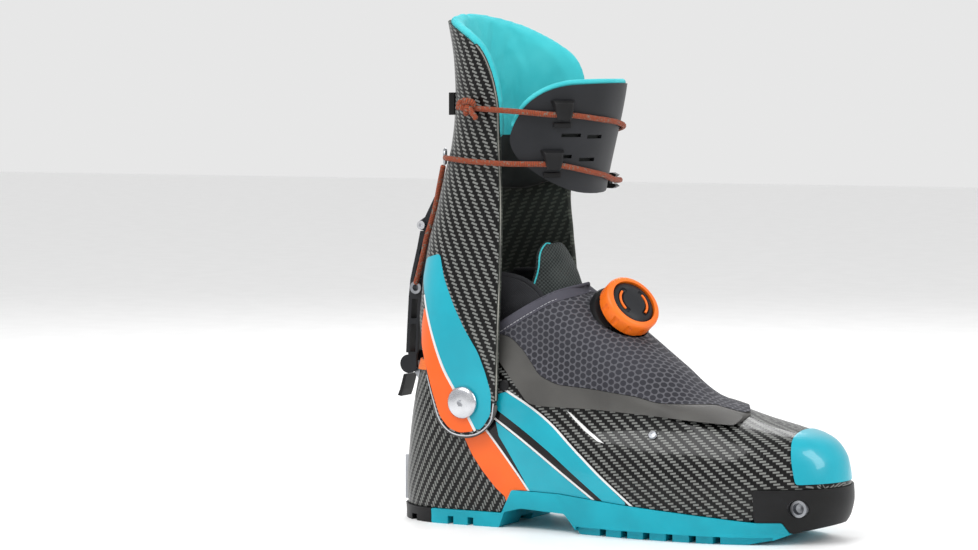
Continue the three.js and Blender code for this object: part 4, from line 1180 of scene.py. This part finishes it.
def add_bootie():
    outline = [(0, 20), (300, 20), (300, 75), (150, 136), *BOOTIE_TOP[::-1], (40, 154), (18, 146), (0, 140)]
    boot = keep_inside(surface_solid(Foot, -4.2, 30, 160), through(outline, 4))
    heel_room = block((-5, -15.3, 15), (10.3, 15.3, 43.3))
    boot = cut(boot, surface_solid(Foot, -8.2, 33, 162), heel_room, cross_rod(*PIVOT, 9))
    boot = finish_piece(boot, "inner_boot", None, LINER, ["liner_bootie"], Foot)
    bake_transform(boot)
    for side, name in SIDES:
        edge = smooth_path(on_side(Foot, BOOTIE_TOP, side, -6.2), 1)
        edge = finish_piece(tube(edge, 2.1, 14), f"bootie_edge_{name}", None, LINER)
        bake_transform(edge)


TONGUE_FRONT = Curve([[128, 128], [150, 118.5], [161.5, 113.5], [172, 107], [177, 103]])
TONGUE_HALF = Curve([[128, 26], [140, 20.5], [150, 17.5], [165, 15.5], [173, 12.5], [176, 8], [177, 5]])
TONGUE_DEPTH = Curve([[128, 46], [140, 32], [150, 24], [160, 17], [170, 11], [177, 4]])


def add_tongue():
    """Knitted tongue that wraps the front of the shin, with a coloured edge."""
    across, levels = np.linspace(-1, 1, 41), np.linspace(130, 176, 30)
    faces, sheets = [], []
    for thickness in (0.0, 3.0):
        points = []
        for z in levels:
            x = TONGUE_FRONT(z) - thickness - TONGUE_DEPTH(z) * across ** 2
            half = TONGUE_HALF(z) - thickness * 0.6
            points.append(np.stack([x, half * np.sin(across * math.pi / 2), np.full(len(across), z)], -1))
        sheets.append(np.concatenate(points))
    wide, tall = len(across), len(levels)
    total = wide * tall
    for r in range(tall - 1):
        for c in range(wide - 1):
            a = r * wide + c
            faces.append((a, a + 1, a + wide + 1, a + wide))
            faces.append(tuple(total + v for v in (a, a + wide, a + wide + 1, a + 1)))
    rim = [*range(wide)] + [r * wide + wide - 1 for r in range(1, tall)]
    rim += [(tall - 1) * wide + c for c in range(wide - 2, -1, -1)]
    rim += [r * wide for r in range(tall - 2, 0, -1)]
    for a, b in zip(rim, rim[1:] + rim[:1]):
        faces.append((a, total + a, total + b, b))
    tongue = outward(mesh_object("tongue", np.concatenate(sheets), faces))
    tongue = finish_piece(tongue, "tongue", None, KNIT, ["tongue_tab"], angle=60)
    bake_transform(tongue)
    edge = [sheets[0][r * wide] for r in range(12, tall)]
    edge += [sheets[0][(tall - 1) * wide + c] for c in range(1, 6)]
    piping = finish_piece(tube(smooth_path(edge, 1.0), 0.55, 10), "tongue_piping", None, TEAL_FABRIC)
    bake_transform(piping)


BOLT_PROFILE = [
    (0, 0), (4, 0), (4, 7.6), (9.6, 7.6), (10, 8), (10, 9), (9.4, 9.8), (8.2, 10.6), (5.6, 11.2),
    (3.6, 11.4), (0, 11.4),
]


def add_pivots():
    for side, name in ((-1, "lateral"), (1, "medial")):
        bolt = lathe(BOLT_PROFILE, (PIVOT[0], side * 39, PIVOT[1]), (0, side, 0), 96)
        bolt = cut(bolt, lathe(disc(2.4, 6), (PIVOT[0], side * 47.8, PIVOT[1]), (0, side, 0), 6))
        finish_piece(bolt, f"pivot_{name}", "lower_boot", ALUMINIUM, [f"pivot_bolt_{name}"])


# ---------------------------------------------------------------- cuff
LATERAL_EDGE = [
    (82, 120), (84, 200), (83, 243), (82, 266), (77, 285), (70, 297), (58, 306), (40, 314), (27, 318),
]
MEDIAL_EDGE = [
    (84, 120), (96, 150), (93, 180), (90, 206), (96, 250), (98, 277), (92, 289), (81, 297), (60, 308),
    (40, 315), (27, 318),
]


def rear_notch(count=10):
    """Curve of the cuff's lower edge from the spine down to the hinge."""
    a, b, c = (np.array(p, float) for p in ((12, 137), (24, 128), (30, 106)))
    return [(1 - t) ** 2 * a + 2 * t * (1 - t) * b + t * t * c for t in np.linspace(0, 1, count)]


def hinge_arc(start, end, count):
    return [
        (PIVOT[0] + HINGE_RADIUS * math.cos(a), PIVOT[1] + HINGE_RADIUS * math.sin(a))
        for a in np.linspace(start, end, count)
    ]


def cuff_outline(edge):
    arc = hinge_arc(1.05 * math.pi, 2 * math.pi, 28)
    smooth = flat_path([arc[-1], *edge], 2.5)[1:]
    return [(-5, 138), *rear_notch(), *arc, *smooth, (-5, 319)]


def add_cuff():
    wall = cut(surface_solid(Leg, 0, 52, 318.4), surface_solid(Leg, -3, 51, 323))
    sides = two_sided(cuff_outline(LATERAL_EDGE), cuff_outline(MEDIAL_EDGE))
    cuff = cut(keep_inside(wall, sides), cross_rod(*PIVOT, PIVOT_HOLE))
    cuff = finish_piece(cuff, "cuff", "cuff", CARBON, ["cuff_shell"], Leg)

    def inside(x, y, z):
        return abs(y) < max(float(Leg.side(x, z, -1.5)), 0.1) and x > float(leg_rear(z)) + 1.5

    second_material(cuff, CARBON_MATT, inside)
    for (side, name), edge in zip(SIDES, (LATERAL_EDGE, MEDIAL_EDGE)):
        path = [p for p in flat_path([(81, 80), *edge], 3) if p[1] < 300]
        lip = tube(on_side(Leg, path, side, -1.5), 1.5, 14)
        finish_piece(lip, f"cuff_lip_{name}", "cuff", CARBON_MATT)
        worn = tube([side_point(Leg, x + 0.9, z, side, -0.3) for x, z in path], 0.38, 8)
        finish_piece(worn, f"cuff_worn_edge_{name}", "cuff", FRAYED)
        path = [*rear_notch(16)[5:], *hinge_arc(3.4, 6.2, 24)]
        bead = tube(on_side(Leg, path, side, -1.4), 1.45, 12)
        finish_piece(bead, f"cuff_bead_{name}", "cuff", GREY_BAND)


CLOTH_FRAMES = 20


def soften(piece, cap, voxel):
    """Puffs a pad up with a short cloth simulation; no point moves more than cap millimetres."""
    remesh = piece.modifiers.new("even", "REMESH")
    remesh.mode, remesh.voxel_size = "VOXEL", voxel * MM
    apply_modifiers(piece)
    before = np.array([v.co for v in piece.data.vertices])
    cloth = piece.modifiers.new("cloth", "CLOTH")
    cloth.settings.use_pressure = True
    cloth.settings.uniform_pressure_force = 4
    cloth.settings.effector_weights.gravity = 0
    cloth.point_cache.frame_start, cloth.point_cache.frame_end = 1, CLOTH_FRAMES
    for step in range(1, CLOTH_FRAMES + 1):
        bpy.context.scene.frame_set(step)
    graph = bpy.context.evaluated_depsgraph_get()
    after = np.array([v.co for v in piece.evaluated_get(graph).data.vertices])
    piece.modifiers.clear()
    bpy.context.scene.frame_set(1)
    move = after - before
    length = np.maximum(np.linalg.norm(move, axis=1), 1e-9)
    before = before + move * np.minimum(1, cap * MM / length)[:, None]
    piece.data.vertices.foreach_set("co", before.ravel())
    smooth = piece.modifiers.new("smooth", "SMOOTH")
    smooth.iterations, smooth.factor = 4, 0.5
    piece.modifiers.new("finer", "SUBSURF").levels = 1
    apply_modifiers(piece)
    piece.data.shade_smooth()


def add_collar():
    def side(edge):
        top = [(x, z + 3) for x, z in edge[3:]]
        return [(-5, 212), (60, 208), (84, 214), *top, (20, 321), (-5, 321)]

    pad = cut(surface_solid(Leg, -3.2, 200, 321), surface_solid(Leg, -8.6, 199, 323))
    pad = keep_inside(pad, two_sided(side(LATERAL_EDGE), side(MEDIAL_EDGE), 4))
    for sign, edge in ((-1, LATERAL_EDGE), (1, MEDIAL_EDGE)):
        path = flat_path([(x + 0.6, z + 1.6) for x, z in edge[2 if sign < 0 else 4:-1]] + [(33, 318.6)], 2)
        path = [(max(x, float(leg_rear(z)) + 4.5), z) for x, z in path]
        roll = tube(on_side(Leg, path, sign, -4.4), 3.3, 14)
        pad = join_on(pad, roll)
    pad = finish_piece(pad, "collar", None, COLLAR_FABRIC, ["collar_liner"])
    soften(pad, 1.0, 1.9)
    pad.data.materials.clear()
    pad.data.materials.append(COLLAR_FABRIC)
    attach(pad, "cuff")


# ---------------------------------------------------------------- front flap
FLAP_FRONT = [(127, 208), (170, 203), (170, 278), (126, 274.5)]
FLAP_LATERAL = [
    (92.5, 241), (96, 232), (104, 224), (114, 216.5), *FLAP_FRONT, (114, 270), (103, 262), (95.5, 250),
]
FLAP_MEDIAL = [(76, 240), (80, 230), (92, 223), (119, 220.5), *FLAP_FRONT, (96, 264), (80, 254)]
FLAP_SLOTS = [(244, -38), (243, -17), (231, -42), (229, -20)]
FLAP_TOP_OUTER = [(94.8, 250.5), (102.4, 262.8), (113.5, 271), (125.5, 275.4), (136, 276.4)]
FLAP_TOP_INNER = [(136, 276.4), (125.5, 275.4), (110, 270.6), (96, 265), (82, 256.5)]


def flap_solid(outer, inner, inset):
    def shrink(outline):
        return [
            (max(x + inset, 170 if x > 160 else 0), z + (-inset if z > 240 else inset))
            for x, z in outline
        ]

    sides = two_sided(shrink(FLAP_LATERAL), shrink(FLAP_MEDIAL), 6)
    return keep_inside(skin(Leg, outer, inner, 196, 285), sides)


HOOKS = {"cord_hook_upper": (256.8, -47.5), "cord_hook_lower": (226.3, -48)}
HOOK_SECTIONS = [  # height, distance out of the near face, half the width, distance out of the far face
    (7.6, 2.6, 8.4, 5.4), (8.8, 2.6, 8.0, 7.4), (7.0, 2.6, 7.2, 10.2), (2.6, 9.3, 6.0, 11.4),
    (-3.4, 9.3, 4.4, 10.8),
]


def add_hooks():
    """Wedge-shaped hooks: wide at the top, where they stand out over the cord, and narrow below it."""
    for name, (z, degrees) in HOOKS.items():
        angle = math.radians(degrees)
        out = leg_normal(z, angle)
        across = np.cross([0, 0, 1], out)
        centre = surface_points(Leg, z, angle, 0)

        def spot(side, height, distance):
            return centre + across * side + np.array([0, 0, 1]) * height + out * distance

        vertices, faces = [], []
        for height, near, half, far in HOOK_SECTIONS:
            for side, distance in ((-half, near), (half, near), (half * 0.8, far), (-half * 0.8, far)):
                vertices.append(spot(side, height, distance))
        for row in range(len(HOOK_SECTIONS) - 1):
            a = row * 4
            faces += [(a + i, a + (i + 1) % 4, a + 4 + (i + 1) % 4, a + 4 + i) for i in range(4)]
        faces += [(0, 1, 2, 3), tuple(len(vertices) - 4 + i for i in (3, 2, 1, 0))]
        hook = outward(mesh_object(name, vertices, faces))
        foot = oriented_block(spot(0, -6.6, 3.6), out, (11, 2.4, 3.2))
        finish_piece(merged([hook, foot]), name.replace("cord_", "wedge_"), "flap", BLACK_RUBBER, [name],
                     angle=25, bevel=0.5)


def add_flap():
    flap = flap_solid(3.0, 0.6, 0)
    for z, degrees in FLAP_SLOTS:
        angle = math.radians(degrees)
        place = surface_points(Leg, z, angle, 0)
        flap = cut(flap, oriented_block(place, leg_normal(z, angle), (13, 14, 2.2)))
    finish_piece(flap, "shin_flap", "flap", GREY_PLASTIC, ["front_flap"], Leg, bevel=0.35)
    pad = keep_inside(flap_solid(0.2, -3.2, 3), block((98, -HALF_WIDTH, 150), (200, HALF_WIDTH, 300)))
    pad = finish_piece(pad, "shin_pad", "flap", SHIN_FABRIC, ["flap_liner"], Leg)
    outer = on_side(Leg, FLAP_TOP_OUTER, -1, 0.2)
    inner = on_side(Leg, FLAP_TOP_INNER, 1, 0.2)
    piping = tube(smooth_path([*outer, leg_spot(276.6, 0, 0.2), *inner], 1), 2.1, 14)
    finish_piece(piping, "flap_piping", "flap", TEAL_FABRIC)


# ---------------------------------------------------------------- dial
SEAT_PROFILE = [(0, 0), (19, 0), (20.6, 9), (21, 12), (20, 14.6), (18, 15), (0, 15)]
RING_PROFILE = [
    (0, 0), (17.6, 0), (18.4, 0.5), (19, 1.6), (19, 8.6), (18.6, 10), (17.4, 11), (16, 11.2), (0, 11.2),
]
CAP_PROFILE = [(0, 0), (14.7, 0), (14.7, 6.4), (13.6, 7.6), (9, 8.4), (5, 8.7), (0, 8.8)]
NOTCHES = 12


def add_dial():
    seat = dial_turned(SEAT_PROFILE, -13)
    seat = cut(seat, surface_solid(Foot, 2.3, 60, 157), dial_turned(disc(3.4, 6), -2, 24))
    finish_piece(seat, "dial_seat", "lower_boot", BLACK_RUBBER, ["dial_base"], bevel=0.3)
    ring = cut(dial_turned(RING_PROFILE, 4.4, 120), dial_turned(disc(15, 20), 3))
    side = np.cross(DIAL_AXIS, [0, 0, 1])
    side /= np.linalg.norm(side)
    across = np.cross(DIAL_AXIS, side)
    for i in range(NOTCHES):
        a = i / NOTCHES * 2 * math.pi
        notch = dial_spot(3.6) + (side * math.cos(a) + across * math.sin(a)) * (DIAL_RADIUS + 1.2)
        ring = cut(ring, lathe(disc(2.3, 9), notch, DIAL_AXIS, 20))
    finish_piece(ring, "dial_grip", "dial_knob", ORANGE_RUBBER, ["dial_ring"],
                 bevel=0.35)
    cap = dial_turned(CAP_PROFILE, 7.2)
    for start, end in ((-70, 40), (110, 220)):
        turn = np.radians(np.linspace(start, end, 24))
        arc = [dial_spot(15.9) + (side * math.cos(a) + across * math.sin(a)) * 9.6 for a in turn]
        cap = cut(cap, tube(arc, 1.9, 16))
        inlay = tube([point - DIAL_AXIS * 0.9 for point in arc[3:-3]], 0.8, 12)
        finish_piece(inlay, f"dial_inlay_{'low' if start < 0 else 'high'}", "dial_knob", ORANGE_RUBBER)
    finish_piece(cap, "dial_face", "dial_knob", GREY_PLASTIC, ["dial_cap"], bevel=0.3)


# ---------------------------------------------------------------- CAD hardware that stays
HARDWARE = [  # material, width of the bevel and the CAD nodes that get them
    (STEEL, 0.2, ["toe_insert", "heel_insert_screw_1", "heel_insert_screw_2", "pivot_nut_lateral",
                  "pivot_nut_medial", "side_rivet_lateral", "side_rivet_medial", "cord_eye"]),
    (STEEL, 0.3, ["heel_insert", "flap_guide"]),
    (STEEL, 0.4, ["lever_catch"]),
    (STEEL, 0, ["rear_ring_guide"]),
    (ALUMINIUM, 0.2, ["mount_rivet", "spine_rivet", "lever_axle", "link_rivet"]),
    (ALUMINIUM, 0.3, ["swivel_link"]),
    (BLACK_RUBBER, 0.2, ["stop_button_lateral", "stop_button_medial"]),
    (BLACK_RUBBER, 0.4, ["lever_grip"]),
    (BLACK_RUBBER, 0.5, ["rear_cord_bracket", "pull_tab"]),
    (GREY_PLASTIC, 0.2, ["dial_spool", "dial_ratchet"]),
    (GREY_PLASTIC, 0.3, ["lace_guide_lateral", "lace_guide_medial"]),
    (GREY_PLASTIC, 0.4, ["lever_arm"]),
    (GREY_PLASTIC, 0.5, ["lever_mount"]),
    (GREY_BAND, 0, ["insole"]),
    (LACE, 0, ["instep_lace"]),
]


def dress_hardware():
    for material, width, names in HARDWARE:
        for name in names:
            set_finish(nodes[name].data, material, 35)
            if width:
                add_bevel(nodes[name], width)


def add_floor():
    size = 6.0
    corners = [(-size, -size, 0), (size, -size, 0), (size, size, 0), (-size, size, 0)]
    floor = mesh_object("floor", corners, [(0, 1, 2, 3)])
    floor.data.materials.append(moulded("floor", (0.93, 0.93, 0.93), (0.90, 0.90, 0.90), 0.5, 40, 0.0))


add_floor()
add_cords()
add_knot()
add_lower_shell()
add_paint()
add_gaiter()
add_rim_and_gusset()
add_soles()
add_bootie()
add_tongue()
add_pivots()
add_cuff()
add_collar()
add_flap()
add_hooks()
add_dial()
dress_hardware()
